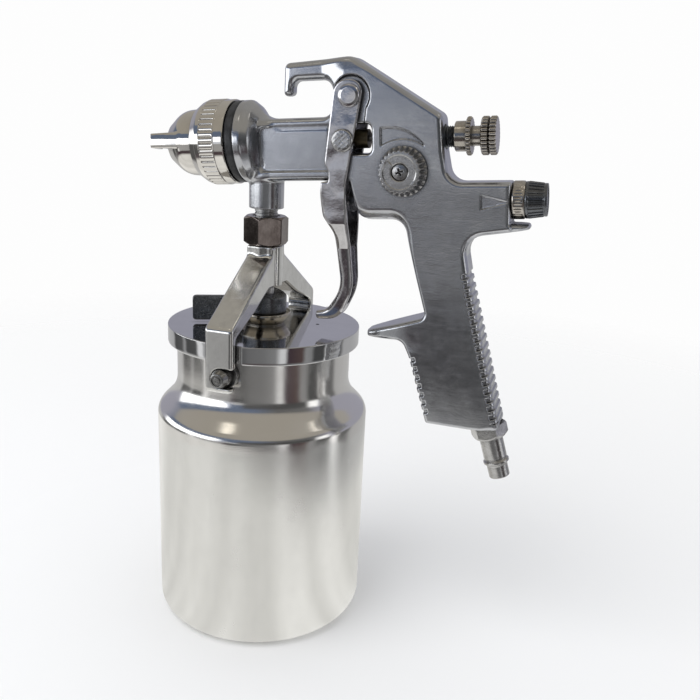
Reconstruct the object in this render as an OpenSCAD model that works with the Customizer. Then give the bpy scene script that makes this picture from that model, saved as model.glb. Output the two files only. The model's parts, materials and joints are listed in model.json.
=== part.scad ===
// Suction-feed paint spray gun on its one-litre cup.
// World frame: origin at the centre of the cup's base, +Z up, +X towards the grip,
// the spray leaves towards -X. Gun parts are drawn in a gun frame whose X axis is the
// barrel axis and whose origin is where that axis crosses the cup's axis.

/* [Cup] */
// Outer radius of the cup
cup_r = 52.5; // [50:0.5:56]
// Outer radius of the cup's neck
neck_r = 42.7; // [41.5:0.1:42.8]
// Wall thickness of the cup
cup_wall = 1.4; // [1:0.1:2]
// Height at which the shoulder starts
shoulder_z = 107; // [80:1:110]
// Height of the cup's mouth
mouth_z = 146; // [146:0.1:146.4]

/* [Lid and yoke] */
// Height of the lid's top face
lid_z = 151.2; // [151:0.1:151.4]
// Outer radius of the lid
lid_r = 47; // [46.5:0.1:47]
// Depth of the lid's rim
lid_rim_h = 8.5; // [8:0.1:9]
// Width of the yoke's arms
yoke_w = 13.6; // [12:0.1:14]
// Distance from the axis to the outer face of each leg
leg_y = 50.3; // [50:0.1:51]
// Drop of the yoke when the cam lever is released
yoke_drop = 1.5; // [1:0.1:1.6]

/* [Gun] */
// Height of the barrel axis above the base, on the cup's axis
axis_z = 238.35; // [236:0.1:240]
// Rise of the barrel axis towards the rear, in degrees
axis_tilt = 4.4; // [4:0.1:5]
// Half the thickness of the casting beside the trigger
body_t = 8.4; // [8:0.1:8.4]
// Half the thickness of the grip
grip_t = 10.5; // [9:0.1:12]
// Half the thickness of the hanging hook
hook_t = 4.2; // [3.5:0.1:5]

/* [Trigger and valves] */
// Trigger pivot, along the barrel from the cup's axis
pivot_x = 43.7; // [43.5:0.1:44]
// Trigger pivot, above the barrel axis
pivot_z = 18.5; // [18:0.1:19]
// Air valve axis, below the barrel axis
valve_z = 27.4; // [27:0.1:28]
// Fan valve axis, along the barrel
fan_x = 66.9; // [66:0.1:68]
// Fan valve axis, below the barrel axis
fan_z = 14.2; // [14:0.1:15]
// Turn of the air cap about the barrel, in degrees
cap_turn = 7; // [0:1:20]

/* [Hidden] */

gap = 0.05;         // running clearance on a radius
eps = 0.1;          // overshoot of a cutting solid
round_fn = 96;      // facets that stand for a full circle

// Cup and lid
base_fillet = 7.7;
shoulder_h = 11;
stud_z = 136.5;
stud_r = 4.3;
stud_angle = 1;     // turn of the studs from the legs' middle, in degrees
yoke_turn = 1.3;      // turn of the yoke about the cup, in degrees
stud_turn = stud_angle - yoke_turn;
stud_out = 53.6;    // distance from the axis to the stud's end
slot_half_h = 4.45;
leg_thick = 4.4;
leg_low_z = 129.3;
leg_bend_z = 159.5;
tube_r = 4.4;
tube_bore = 3.2;
tube_low_z = 9;

// Cam between the tube nut and the yoke
cam_r = 10.6;
cam_low_z = 157.3;
cam_ridge_z = 167;
cam_slope = 12.6;   // slope of the two ramps, in degrees
cam_nose_r = 2.2;
lever_reach = 35.1;
lever_turn = 27;    // turn of the locked lever from -X towards -Y, in degrees

// Head
seat_x = -9.8;      // front face of the body's flange
flange_r = 18.7;
head_r = 15.4;      // threaded collar that carries the ring
head_x = -22;
ring_front = -32.2;
ring_back = -14.15;
ring_r = 19.7;

// Needle line
needle_r = 1.2;
pin_x = 40;
pin_z = -0.4;
pin_r = 3.6;
window_front = 33;
window_rear = 52.6;
window_h = 6.4;
rear_x = 84.8;      // rear face of the needle boss
chamber_r = 5.2;

// Trigger
plate_in = 8.6;
plate_out = 10.4;
web_x = 30.6;       // rear face of the trigger's front web

// Regulator and grip
reg_x = 114;
grip_lean = 13;     // lean of the grip's air passage, in degrees
nipple_x = 104.4;
nipple_z = -131.5;
tail_r = 4.9;
tail_low = -26.5;

// ---------- helpers ----------

// Unit vector from a to b
function toward(a, b) = (b - a) / norm(b - a);
// Arc of n+1 points that rounds corner p between a and b with radius r
function corner(a, p, b, r, n) =
    let (u = toward(p, a), v = toward(p, b),
         half = acos(max(-1, min(1, u * v))) / 2,
         c = p + toward([0, 0], u + v) * r / sin(half),
         s = p + u * r / tan(half), e = p + v * r / tan(half),
         a0 = atan2(s.y - c.y, s.x - c.x), a1 = atan2(e.y - c.y, e.x - c.x),
         d = a1 - a0, turn = d > 180 ? d - 360 : d < -180 ? d + 360 : d)
    [for (i = [0:n]) c + r * [cos(a0 + turn * i / n), sin(a0 + turn * i / n)]];
// Outline through [x, y, radius] points, each corner rounded by its radius
function rounded(pts, n = 5) =
    let (m = len(pts), p = [for (q = pts) [q.x, q.y]])
    [for (i = [0:m - 1]) each pts[i].z == 0 ? [p[i]]
        : corner(p[(i + m - 1) % m], p[i], p[(i + 1) % m], pts[i].z, n)];

// Places its children in the gun frame
module gun_frame() { translate([0, 0, axis_z]) rotate([0, -axis_tilt, 0]) children(); }
// Solid turned about the X axis from [radius, x] points
module turned_x(profile) { rotate([0, 90, 0]) rotate_extrude($fn = round_fn) polygon(profile); }
// Solid turned about the Z axis from [radius, z] points
module turned_z(profile) { rotate_extrude($fn = round_fn) polygon(profile); }
// Rod along X between two places
module rod_x(r, x0, x1, fn = round_fn) { translate([x0, 0, 0]) rotate([0, 90, 0]) cylinder(r = r, h = x1 - x0, $fn = fn); }
// Rod along Y between two places
module rod_y(r, y0, y1, fn = round_fn) { translate([0, y1, 0]) rotate([90, 0, 0]) cylinder(r = r, h = y1 - y0, $fn = fn); }
// Side outline in the X-Z plane, thickened to both sides of the middle plane
module slab(outline, half) { translate([0, half, 0]) rotate([90, 0, 0]) linear_extrude(2 * half) polygon(outline); }
// Front outline in the Y-Z plane, from x0 to x1
module front_slab(outline, x0, x1) {
    translate([x0, 0, 0]) rotate([90, 0, 90]) linear_extrude(x1 - x0) polygon(outline);
}
// Coil spring along X: a tube of wire swept along a helix
module coil_x(r, wire_r, x0, x1, turns) {
    around = 6;
    per_turn = 20;
    steps = turns * per_turn;
    length = x1 - x0 - 2 * wire_r;
    points = [for (i = [0:steps], j = [0:around - 1])
        let (a = 360 * i / per_turn, b = 360 * j / around, rr = r + wire_r * cos(b))
        [x0 + wire_r + length * i / steps + wire_r * sin(b), rr * cos(a), rr * sin(a)]];
    sides = [for (i = [0:steps - 1], j = [0:around - 1])
        let (k = (j + 1) % around)
        [i * around + j, i * around + k, (i + 1) * around + k, (i + 1) * around + j]];
    first = [for (j = [0:around - 1]) around - 1 - j];
    last = [for (j = [0:around - 1]) steps * around + j];
    polyhedron(points = points, faces = concat(sides, [first], [last]), convexity = 10);
}

// ---------- gun body ----------

body_outline = rounded([
    [-6, 9.9, 0], [34.4, 9.9, 5], [34.4, 25.8, 5.5], [15.6, 25.8, 3], [15, 19.4, 2],
    [10.1, 19.4, 1.8], [11.4, 33.8, 2.6], [44.2, 35.2, 9], [84, 9.3, 4], [rear_x, -6, 0],
    [87, -19.2, 7], [reg_x, -19.2, 1.5], [reg_x, -37.3, 0.6], [121.9, -37.5, 1.1],
    [121.9, -39.9, 1.1], [93.5, -43.4, 12], [96, -60, 40], [111.4, -132.5, 3],
    [96, -132, 8], [76.2, -130.3, 1.5], [68.4, -98, 20], [65, -91, 5],
    [46.6, -90.8, 1.6], [47.4, -87.4, 1.5], [76.4, -79.6, 3], [65.8, -35.8, 7],
    [45.2, -35.8, 7], [40.8, -18.1, 1.5], [-6, -18.1, 0]]);

// Widths of the casting seen from the front
body_front = [[-5.6, 36], [-body_t, 32.6], [-body_t, -45], [-grip_t, -68],
    [-grip_t, -140], [grip_t, -140], [grip_t, -68], [body_t, -45], [body_t, 32.6], [5.6, 36]];

// Seat for the rubber seal, then the bell that runs into the barrel
module head_shell() {
    turned_x([[0, seat_x], [flange_r, seat_x], [flange_r, -6.6], [17.2, -4],
        [13.2, -1], [10.2, 3], [0, 3]]);
    rod_x(head_r, head_x, seat_x + 1);
}

module inlet_boss() {
    boss_low = 207.4;
    translate([0, 0, boss_low]) cylinder(r = 8.3, h = axis_z - 12 - boss_low, $fn = round_fn);
}

module body_bores() {
    gun_frame() {
        rod_x(13.2, head_x - eps, -13);
        rod_x(5, -14, -3.5);
        rod_x(3.2, -4, 14);
        rod_x(5, 13, window_front + 1);
        translate([window_front, -15, -window_h]) cube([window_rear - window_front, 30, 2 * window_h]);
        rod_x(chamber_r, window_rear - 1, rear_x + 2);
        translate([0, 0, -valve_z]) {
            rod_x(4.7, 35, 56);
            rod_x(3.4, 55, 62);
            rod_x(6.4, 61, reg_x + 1);
        }
        translate([pivot_x, 0, pivot_z]) rod_y(2.52, -12, 12);
        translate([fan_x, 0, -fan_z]) rod_y(3.6, -12, 4);
        translate([nipple_x, 0, nipple_z]) rotate([0, -grip_lean, 0]) {
            translate([0, 0, -8]) cylinder(r = 5.2, h = 22, $fn = round_fn);
            // Spot face for the nipple's hexagon
            translate([0, 0, -12]) cylinder(r = 9.6, h = 12, $fn = round_fn);
            cylinder(r = 4, h = 104, $fn = round_fn);
        }
    }
    translate([0, 0, 206]) cylinder(r = 5.6, h = 14, $fn = round_fn);
    translate([0, 0, 215]) cylinder(r = 3.2, h = axis_z - 215, $fn = round_fn);
}

module gun_body() {
    color("silver") difference() {
        union() {
            gun_frame() {
                intersection() {
                    slab(body_outline, 14);
                    front_slab(body_front, -10, 130);
                }
                head_shell();
            }
            inlet_boss();
        }
        body_bores();
        // Thinner hook in front of the pivot
        gun_frame() for (s = [-1, 1])
            translate([20, s * (hook_t + 10), 27.5]) cube([28, 20, 19], center = true);
    }
}

// ---------- head ----------

module head_seal() {
    color("black") gun_frame() difference() {
        rod_x(flange_r, ring_back + gap, seat_x - 0.02);
        rod_x(head_r + 0.02, ring_back - 1, seat_x + 1);
    }
}

module fluid_tip() {
    color("goldenrod") gun_frame() turned_x([[0.7, -49.3], [1.7, -49.3], [1.7, -46.5], [6, -39],
        [6, -31], [9, -29], [9, head_x - 0.1], [4.98, head_x - 0.1], [4.98, -3.6], [2.2, -3.6],
        [2.2, -40]]);
}

module air_baffle() {
    color("silver") gun_frame() difference() {
        rod_x(13.15, head_x + 0.1, -18);
        rod_x(5.1, head_x - 1, -17);
        for (i = [0:7]) rotate([i * 45, 0, 0]) translate([0, 9.5, 0]) rod_x(1.3, head_x - 1, -17, 24);
    }
}

cap_outer = rounded([[15.52, -27.5, 0], [15.52, -33, 0], [15, -40.4, 12], [8.3, -48.5, 5],
    [5, -49.5, 1], [2.3, -49.5, 0]], 4);

module air_cap() {
    cap_inner = [[2.3, -48.2], [6.4, -47.2], [12.4, -40], [13.3, -33], [13.3, -24]];
    color("silver") gun_frame() rotate([-cap_turn, 0, 0]) difference() {
        union() {
            turned_x(concat([[17, -27.5]], cap_outer, cap_inner, [[17, -24]]));
            // Horns: what two flats leave of a turned sleeve
            intersection() {
                turned_x([[7.6, -47.2], [9.6, -47.2], [9.6, -33.5], [14.95, -33.5], [14.95, -46],
                    [14.4, -53.6], [7.6, -53.6]]);
                rotate([90, 0, 0]) translate([0, 0, -20]) linear_extrude(40)
                    polygon([[-53.6, -3.3], [-53.6, 3.3], [-33.5, 3.75], [-33.5, -3.75]]);
            }
        }
        for (s = [-1, 1]) translate([-51.2, s * 9.5, 0]) rotate([0, 0, s * 30])
            rod_y(0.9, -3.5, 3.5, 24);
        for (i = [0:5]) rotate([i * 60 + 30, 0, 0]) translate([0, 4.1, 0]) rod_x(0.7, -52, -46.5, 24);
    }
}

module air_cap_ring() {
    outer = rounded([[15.6, ring_front, 0], [16.4, ring_front, 0.4], [19, -28.4, 3],
        [ring_r, -26.2, 0.5], [ring_r, -19, 0], [19.4, ring_back, 0]], 4);
    inner = [[head_r + gap, ring_back], [head_r + gap, -22.6], [17.1, -22.6], [17.1, -28], [15.6, -28]];
    color("silver") gun_frame() turned_x(concat(outer, inner));
}

// ---------- needle line ----------

module fluid_needle() {
    color("silver") gun_frame() turned_x([[0, -49.6], [0.45, -49.6], [needle_r, -41],
        [needle_r, 72], [0, 72]]);
}

module needle_collar() {
    color("goldenrod") gun_frame() difference() {
        rod_x(4.2, pin_x + pin_r + 0.07, pin_x + pin_r + 6);
        rod_x(needle_r + 0.01, 40, 60);
    }
}

module needle_packing() {
    color("white") gun_frame() difference() {
        rod_x(4.98, 14.05, 18);
        rod_x(needle_r + gap, 13, 19);
    }
}

module packing_nut() {
    color("goldenrod") gun_frame() difference() {
        rod_x(4.98, 18.05, 32);
        rod_x(1.6, 17, 33);
        translate([31, -6, -0.9]) cube([2, 12, 1.8]);
    }
}

spring_front = pin_x + pin_r + 6.1;
module needle_spring() { color("gray") gun_frame() coil_x(3.2, 0.5, spring_front, 83.4, 8); }

module needle_sleeve() {
    color("dimgray") gun_frame() difference() {
        union() {
            rod_x(chamber_r - 0.02, 74, rear_x);
            rod_x(4.7, rear_x - 1, 91.5);
        }
        rod_x(4.05, 73, 92);
    }
}

module needle_lock_nut() {
    color("silver") gun_frame() difference() {
        turned_x([[0, 89], [6.5, 89], [6.5, 93.9], [8.3, 93.9], [8.3, 95.9], [0, 95.9]]);
        rod_x(4.75, 88, 92);
        rod_x(4.33, 88, 98);
    }
}

module needle_knob() {
    color("silver") gun_frame() difference() {
        turned_x([[0, 83.5], [4, 83.5], [4, 92], [4.25, 92], [4.25, 100.2], [7.6, 100.2],
            [8.25, 100.8], [8.25, 103.2], [7.3, 103.6], [8.25, 104], [8.25, 106.2],
            [7.6, 106.8], [0, 106.8]]);
        rod_x(1.6, 83, 90);
    }
}

// ---------- trigger ----------

trigger_outline = rounded([
    [pivot_x - 6.6, pivot_z + 6.8, 6.2], [31, -10.5, 4], [32.7, -13.5, 1], [32.7, -18.4, 1],
    [28.9, -18.4, 0.8], [27.8, -33.4, 2], [32.8, -42, 8], [35.2, -68, 18], [28, -78, 8],
    [22.8, -78.8, 1.2], [23.2, -82.6, 1.4], [33.5, -82.4, 14], [41.3, -68, 14],
    [40.4, -36, 20], [40.6, -20, 20], [pivot_x + 6.9, pivot_z + 6.8, 6.2]], 4);
trigger_front = [[-plate_out, 30], [-plate_out, -37], [-6.6, -49], [-5.4, -70], [-4.4, -84],
    [4.4, -84], [5.4, -70], [6.6, -49], [plate_out, -37], [plate_out, 30]];

module trigger() {
    channel = [[-plate_in, 30], [-plate_in, -37], [-4.8, -49], [-3.6, -70], [-2.8, -76],
        [2.8, -76], [3.6, -70], [4.8, -49], [plate_in, -37], [plate_in, 30]];
    behind_web = [[20, 40], [20, -17], [web_x, -17], [web_x, -35], [35.2, -43],
        [37.6, -68], [33, -77], [60, -77], [60, 40]];
    color("lightgray") gun_frame() difference() {
        intersection() {
            slab(trigger_outline, plate_out);
            front_slab(trigger_front, 15, 60);
        }
        intersection() {
            slab(behind_web, plate_out + 1);
            front_slab(channel, 15, 65);
        }
        translate([pivot_x, 0, pivot_z]) rod_y(2.5 + gap, -12, 12);
        translate([pin_x, 0, pin_z]) rod_y(pin_r, -12, 12);
    }
}

module trigger_pivot_screw() {
    color("lightgray") gun_frame() translate([pivot_x, 0, pivot_z]) {
        rod_y(2.5, -plate_out - 0.5, plate_out + 0.6);
        rod_y(4.3, -plate_out - 1.9, -plate_out - gap);
    }
}

module trigger_pivot_nut() {
    color("lightgray") gun_frame() translate([pivot_x, 0, pivot_z]) difference() {
        rod_y(4.3, plate_out + gap, plate_out + 2);
        rod_y(2.52, plate_out - 1, plate_out + 0.7);
    }
}

// The cross pin is fixed in the trigger; the needle passes through its slot
module trigger_pin() {
    color("lightgray") gun_frame() translate([pin_x, 0, pin_z]) difference() {
        union() {
            rod_y(pin_r - 0.01, -plate_out - 0.5, plate_out + 0.5);
            for (s = [-1, 1]) translate([0, s * (plate_out + 0.81), 0]) rod_y(4.6, -0.8, 0.8);
        }
        translate([-6, -1.6, -2.4]) cube([12, 3.2, 5.4]);
    }
}

// ---------- air valve ----------

module air_valve_stem() {
    color("silver") gun_frame() translate([0, 0, -valve_z]) {
        turned_x([[0, web_x + gap], [0.8, web_x + 0.12], [1.5, web_x + 0.5], [2, web_x + 1.2],
            [2, 61.1], [4.6, 61.1], [4.6, 64], [2.4, 65], [2.4, 69], [0, 69]]);
    }
}

module air_valve_gland() {
    color("dimgray") gun_frame() translate([0, 0, -valve_z]) difference() {
        union() {
            rod_x(4.68, 41, 53.9);
            rod_x(5.2, 40.6, 41.3);
        }
        rod_x(2 + gap, 39, 55);
    }
}

module air_valve_seal() {
    color("white") gun_frame() translate([0, 0, -valve_z]) difference() {
        rod_x(4.68, 54, 55.9);
        rod_x(2 + gap, 53, 57);
    }
}

module air_valve_spring() {
    color("gray") gun_frame() translate([0, 0, -valve_z]) coil_x(3.4, 0.5, 65.1, 92.9, 8);
}

// ---------- fan valve ----------

module fan_knob() {
    flutes = 24;
    color("silver") gun_frame() translate([fan_x, 0, -fan_z]) difference() {
        translate([0, -body_t - 0.3, 0]) rotate([90, 0, 0]) rotate_extrude($fn = round_fn)
            polygon([[0, 0], [10.2, 0], [11.1, 0.6], [10.6, 3.4], [9.2, 6.6], [8.4, 7.4], [0, 7.4]]);
        rod_y(3.75, -body_t - 8, -body_t - 5.6);
        rod_y(2, -body_t - 8, -body_t);
        for (i = [0:flutes - 1]) rotate([0, i * 360 / flutes, 0])
            translate([0, -body_t - 4, 11.7]) rotate([12, 0, 0]) cube([1.5, 12, 2.4], center = true);
    }
}

module fan_knob_screw() {
    color("gray") gun_frame() translate([fan_x, 0, -fan_z]) difference() {
        union() {
            rod_y(3.6, -body_t - 7, -body_t - 5.65);
            rod_y(1.9, -body_t - 6, -body_t + 0.6);
        }
        for (a = [0, 90]) rotate([0, a + 20, 0]) translate([0, -body_t - 7, 0])
            cube([3.4, 1.2, 0.7], center = true);
    }
}

module fan_valve_stem() {
    color("goldenrod") gun_frame() translate([fan_x, 0, -fan_z]) difference() {
        rod_y(3.6 - gap, -body_t - 0.1, 3.5);
        rod_y(2, -body_t - 2, -body_t + 1);
    }
}

// ---------- regulator ----------

module regulator_collar() {
    color("silver") gun_frame() translate([0, 0, -valve_z]) difference() {
        union() {
            rod_x(8.3, reg_x + 0.05, 119.4);
            rod_x(6.35, 104, reg_x + 0.1);
        }
        rod_x(4 + gap, 103, 120);
    }
}

module regulator_knob() {
    color("dimgray") gun_frame() translate([0, 0, -valve_z]) difference() {
        turned_x([[0, 119.5], [8.1, 119.5], [7.9, 120.4], [7, 128.2], [6.6, 128.8], [0, 128.8]]);
        rod_x(2.5, 118, 126);
    }
}

module regulator_stem() {
    color("goldenrod") gun_frame() translate([0, 0, -valve_z]) {
        rod_x(4, 93, 119.4);
        rod_x(2.48, 119, 125.9);
    }
}

// ---------- air inlet ----------

module grip_axis() {
    gun_frame() translate([nipple_x, 0, nipple_z]) rotate([0, -grip_lean, 0]) children();
}

module inlet_nipple() {
    hex_r = 8.8;
    color("silver") grip_axis() difference() {
        union() {
            intersection() {
                translate([0, 0, -6.4]) cylinder(r = hex_r, h = 6.35, $fn = 6);
                turned_z([[0, -6.4], [7, -6.4], [9, -4.6], [9, -0.05], [0, -0.05]]);
            }
            translate([0, 0, -17.5]) cylinder(r = 5.5, h = 12, $fn = round_fn);
            turned_z([[0, -20], [5.2, -20], [6.1, -19.1], [6.1, -18.1], [5.2, -17.2], [0, -17.2]]);
            translate([0, 0, tail_low]) cylinder(r = tail_r, h = 7, $fn = round_fn);
            translate([0, 0, -1]) cylinder(r = 5.18, h = 13, $fn = round_fn);
        }
        translate([0, 0, tail_low - 1]) cylinder(r = 3.1, h = 46, $fn = round_fn);
    }
}

module inlet_seal() {
    color("white") grip_axis() difference() {
        translate([0, 0, 12.05]) cylinder(r = 5.15, h = 1.7, $fn = round_fn);
        translate([0, 0, 11]) cylinder(r = 3.2, h = 4, $fn = round_fn);
    }
}

// ---------- feed line between gun and cup ----------

module feed_stem() {
    color("gray") difference() {
        union() {
            translate([0, 0, 203]) cylinder(r = 5.55, h = 13, $fn = round_fn);
            translate([0, 0, 191.6]) cylinder(r = 6.5, h = 12, $fn = round_fn);
        }
        translate([0, 0, 185]) cylinder(r = tube_bore, h = 35, $fn = round_fn);
        translate([0, 0, 190]) cylinder(r = tube_r + 0.01, h = 11, $fn = round_fn);
    }
}

module coupling_nut() {
    nut_turn = 4;       // degrees
    hex_r = 11;
    color("dimgray") rotate([0, 0, nut_turn + 30]) difference() {
        intersection() {
            translate([0, 0, 190.4]) cylinder(r = hex_r, h = 13.4, $fn = 6);
            turned_z([[0, 190.4], [9.6, 190.4], [11.2, 191.6], [11.2, 202.6], [9.6, 203.8], [0, 203.8]]);
        }
        translate([0, 0, 191.55]) cylinder(r = 6.5 + gap, h = 13, $fn = round_fn);
        translate([0, 0, 187]) cylinder(r = tube_r + 0.3, h = 10, $fn = round_fn);
    }
}

module suction_tube() {
    color("silver") difference() {
        translate([0, 0, tube_low_z]) cylinder(r = tube_r, h = 200.9 - tube_low_z, $fn = round_fn);
        translate([0, 0, tube_low_z - 1]) cylinder(r = tube_bore, h = 195, $fn = round_fn);
        translate([0, 0, tube_low_z + 3]) rotate([0, 30, 0]) translate([-20, -15, -30]) cube([40, 30, 30]);
    }
}

module tube_nut() {
    color("goldenrod") difference() {
        turned_z([[0, 151.25], [9.6, 151.25], [9.6, 151.8], [12.7, 156.2], [12.7, 157.2],
            [0, 157.2]]);
        translate([0, 0, 150]) cylinder(r = tube_r + 0.01, h = 8, $fn = round_fn);
    }
}

// ---------- cam, yoke, lid ----------

// Collar with a roof-shaped top: two ramps fall away from a ridge along Y
module cam_lever() {
    lever_low = 152.5;
    lever_h = 12.1;
    color("darkslategray") difference() {
        union() {
            difference() {
                translate([0, 0, cam_low_z]) cylinder(r = cam_r, h = cam_ridge_z - cam_low_z, $fn = round_fn);
                for (s = [0, 180]) rotate([0, 0, s - yoke_turn]) translate([0, -15, cam_ridge_z])
                    rotate([0, cam_slope, 0]) cube([20, 30, 10]);
            }
            rotate([0, 0, lever_turn]) {
                translate([-lever_reach, -1.4, lever_low]) cube([lever_reach - 13.4, 2.8, lever_h]);
                translate([-14, -1.4, 157.6]) cube([6, 2.8, 4.3]);
            }
        }
        translate([0, 0, 150]) cylinder(r = tube_r + gap, h = 20, $fn = round_fn);
    }
}

module yoke_side() {
    leg_in = leg_y - leg_thick;
    half = rounded([[0, 190.3, 0], [7.7, 190.3, 0], [7.7, 185.2, 1.5], [leg_y, leg_bend_z, 2],
        [leg_y, leg_low_z, 2], [leg_in, leg_low_z, 1], [leg_in, 154.3, 2.5],
        [25.5, 162.3, 20], [10.6, 170.2, 1.5], [0, 170.2, 0]]);
    rotate([90, 0, 90]) translate([0, 0, -yoke_w / 2]) linear_extrude(yoke_w) {
        polygon(half);
        mirror([1, 0]) polygon(half);
    }
}

module yoke() {
    slot_x = leg_y * sin(stud_angle) - slot_half_h;
    color("silver") rotate([0, 0, -yoke_turn]) difference() {
        union() {
            yoke_side();
            translate([0, 0, 170.2]) cylinder(r = 8.2, h = 20.1, $fn = round_fn);
            // Noses that ride on the cam's ridge
            for (s = [0, 180]) rotate([0, 0, s]) translate([0, 0, cam_ridge_z + cam_nose_r + 0.08]) {
                rod_y(cam_nose_r, -10.2, -7.1);
                translate([-cam_nose_r, -10.2, 0]) cube([2 * cam_nose_r, 3.1, 3]);
            }
        }
        translate([0, 0, 160]) cylinder(r = tube_r + 0.1, h = 40, $fn = round_fn);
        // Bayonet slots, one in each leg, open in the same turning direction
        for (s = [0, 180]) rotate([0, 0, s]) translate([slot_x + slot_half_h, 0, stud_z]) {
            rod_y(slot_half_h, -leg_y - 2, -leg_y + leg_thick + 2);
            translate([0, -leg_y - 2, -slot_half_h]) cube([20, leg_thick + 4, 2 * slot_half_h]);
        }
    }
}

module lid() {
    notch_in = 44.8;
    skirt_low = lid_z - lid_rim_h;
    color("silver") difference() {
        turned_z(rounded([[tube_r + 0.02, lid_z, 0], [lid_r, lid_z, 0.8], [lid_r, skirt_low, 0.5],
            [43.3, skirt_low, 0], [43.3, 147.9, 0], [tube_r + 0.02, 147.9, 0]]));
        for (s = [0, 180]) rotate([0, 0, s]) translate([-8.4, -60, skirt_low - 1])
            cube([17.1, 60 - notch_in, lid_rim_h + 2]);
        translate([25.3, 7.1, 140]) cylinder(r = 0.9, h = 20, $fn = 32);
    }
}

module lid_gasket() {
    color("white") difference() {
        translate([0, 0, mouth_z + 0.05]) cylinder(r = 43.2, h = 147.88 - mouth_z - 0.05, $fn = round_fn);
        translate([0, 0, mouth_z - 1]) cylinder(r = 38.5, h = 4, $fn = round_fn);
    }
}

// ---------- cup ----------

// Outer half-profile of the cup, [radius, z], inset by t for the inner face
function cup_profile(t) = rounded([
    [0, t, 0], [cup_r - t, t, base_fillet - t], [cup_r - t, shoulder_z + 2 - t / 2, 7 - t],
    [neck_r - t, shoulder_z + shoulder_h + 1 - t / 2, 7 + t], [neck_r - t, mouth_z + (t > 0 ? 1 : 0), 0],
    [0, mouth_z + (t > 0 ? 1 : 0), 0]], 6);

module cup() {
    color("lightgray") difference() {
        turned_z(cup_profile(0));
        turned_z(cup_profile(cup_wall));
        for (s = [0, 180]) rotate([0, 0, s + stud_turn]) translate([0, 0, stud_z])
            rod_y(2.5, -60, -30);
    }
}

module cup_studs() {
    color("dimgray") for (s = [0, 180]) rotate([0, 0, s + stud_turn]) translate([0, 0, stud_z]) difference() {
        union() {
            translate([0, -leg_y - 0.3, 0]) rotate([90, 0, 0])
                cylinder(r1 = stud_r, r2 = 3.1, h = stud_out - leg_y - 0.3, $fn = round_fn);
            rod_y(stud_r, -leg_y - 0.3, -neck_r - 2.5);
            rod_y(2.48, -neck_r - 3, -neck_r + 2.4);
            rod_y(4.2, -neck_r + 2.3, -neck_r + 3.6);
        }
        difference() {
            rod_y(2.6, -stud_out - 1, -stud_out + 0.6);
            rod_y(1.6, -stud_out - 2, -stud_out + 1);
        }
    }
}

module stud_washers() {
    color("dimgray") for (s = [0, 180]) rotate([0, 0, s + stud_turn]) translate([0, 0, stud_z]) difference() {
        rod_y(6, -neck_r - 2.45, -neck_r + 2);
        rod_y(2.52, -neck_r - 4, -neck_r + 4);
        rotate([0, 0, -s - stud_turn]) translate([0, 0, -10]) cylinder(r = neck_r + 0.02, h = 20, $fn = round_fn);
    }
}

gun_body();
fluid_tip();
air_baffle();
head_seal();
air_cap();
air_cap_ring();
fluid_needle();
needle_collar();
needle_packing();
packing_nut();
needle_spring();
needle_sleeve();
needle_lock_nut();
needle_knob();
trigger();
trigger_pivot_screw();
trigger_pivot_nut();
trigger_pin();
air_valve_stem();
air_valve_gland();
air_valve_seal();
air_valve_spring();
fan_knob();
fan_knob_screw();
fan_valve_stem();
regulator_collar();
regulator_knob();
regulator_stem();
inlet_nipple();
inlet_seal();
coupling_nut();
feed_stem();
suction_tube();
tube_nut();
cam_lever();
yoke();
lid();
lid_gasket();
cup();
cup_studs();
stud_washers();
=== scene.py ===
"""Looks of a suction-feed spray gun on its cup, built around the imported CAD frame.

Lengths are millimetres in the CAD's frames until a mesh is made, when they become metres.
The gun frame has its X axis along the barrel; the cup frame is the row frame itself.
"""

import json
import math

import bpy
import bmesh
import numpy as np
from mathutils import Matrix, Vector

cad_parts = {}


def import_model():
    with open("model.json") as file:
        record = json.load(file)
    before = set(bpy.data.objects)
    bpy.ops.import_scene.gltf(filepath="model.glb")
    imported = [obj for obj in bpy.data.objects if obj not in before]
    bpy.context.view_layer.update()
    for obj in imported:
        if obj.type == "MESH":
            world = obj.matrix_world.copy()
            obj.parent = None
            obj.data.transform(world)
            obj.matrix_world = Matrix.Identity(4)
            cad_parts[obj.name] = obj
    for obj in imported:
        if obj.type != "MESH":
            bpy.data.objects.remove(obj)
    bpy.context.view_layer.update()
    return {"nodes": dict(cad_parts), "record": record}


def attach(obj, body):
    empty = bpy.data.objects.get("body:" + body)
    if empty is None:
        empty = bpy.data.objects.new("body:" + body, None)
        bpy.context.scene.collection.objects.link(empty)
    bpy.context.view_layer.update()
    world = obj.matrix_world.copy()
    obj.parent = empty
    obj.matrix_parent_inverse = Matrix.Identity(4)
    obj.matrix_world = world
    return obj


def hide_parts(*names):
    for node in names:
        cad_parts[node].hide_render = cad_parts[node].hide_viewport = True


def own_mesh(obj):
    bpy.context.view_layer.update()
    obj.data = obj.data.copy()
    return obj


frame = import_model()
record = frame["record"]
BODY = {n: b for b, ns in record["behaviour"]["bodies"].items() for n in ns}

# ---------------- frames

AXIS_Z = 238.35
TILT = math.radians(4.4)
GRIP_LEAN = math.radians(13)
# Drop of the air valve's axis below the barrel's, and the spot face of the nipple, in the gun frame
VALVE_DROP = 27.4
NIPPLE_X, NIPPLE_Z = 104.4, -131.5
MM = 0.001


class Place:
    """A frame: an origin and three unit rows, in row-frame millimetres."""

    def __init__(self, origin=(0, 0, 0), rows=((1, 0, 0), (0, 1, 0), (0, 0, 1))):
        self.o = np.array(origin, float)
        self.r = np.array(rows, float)

    def sub(self, origin=(0, 0, 0), rows=((1, 0, 0), (0, 1, 0), (0, 0, 1))):
        return Place(self.o + np.array(origin, float) @ self.r, np.array(rows, float) @ self.r)

    def out(self, points):
        return (self.o + np.asarray(points, float) @ self.r) * MM


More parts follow.
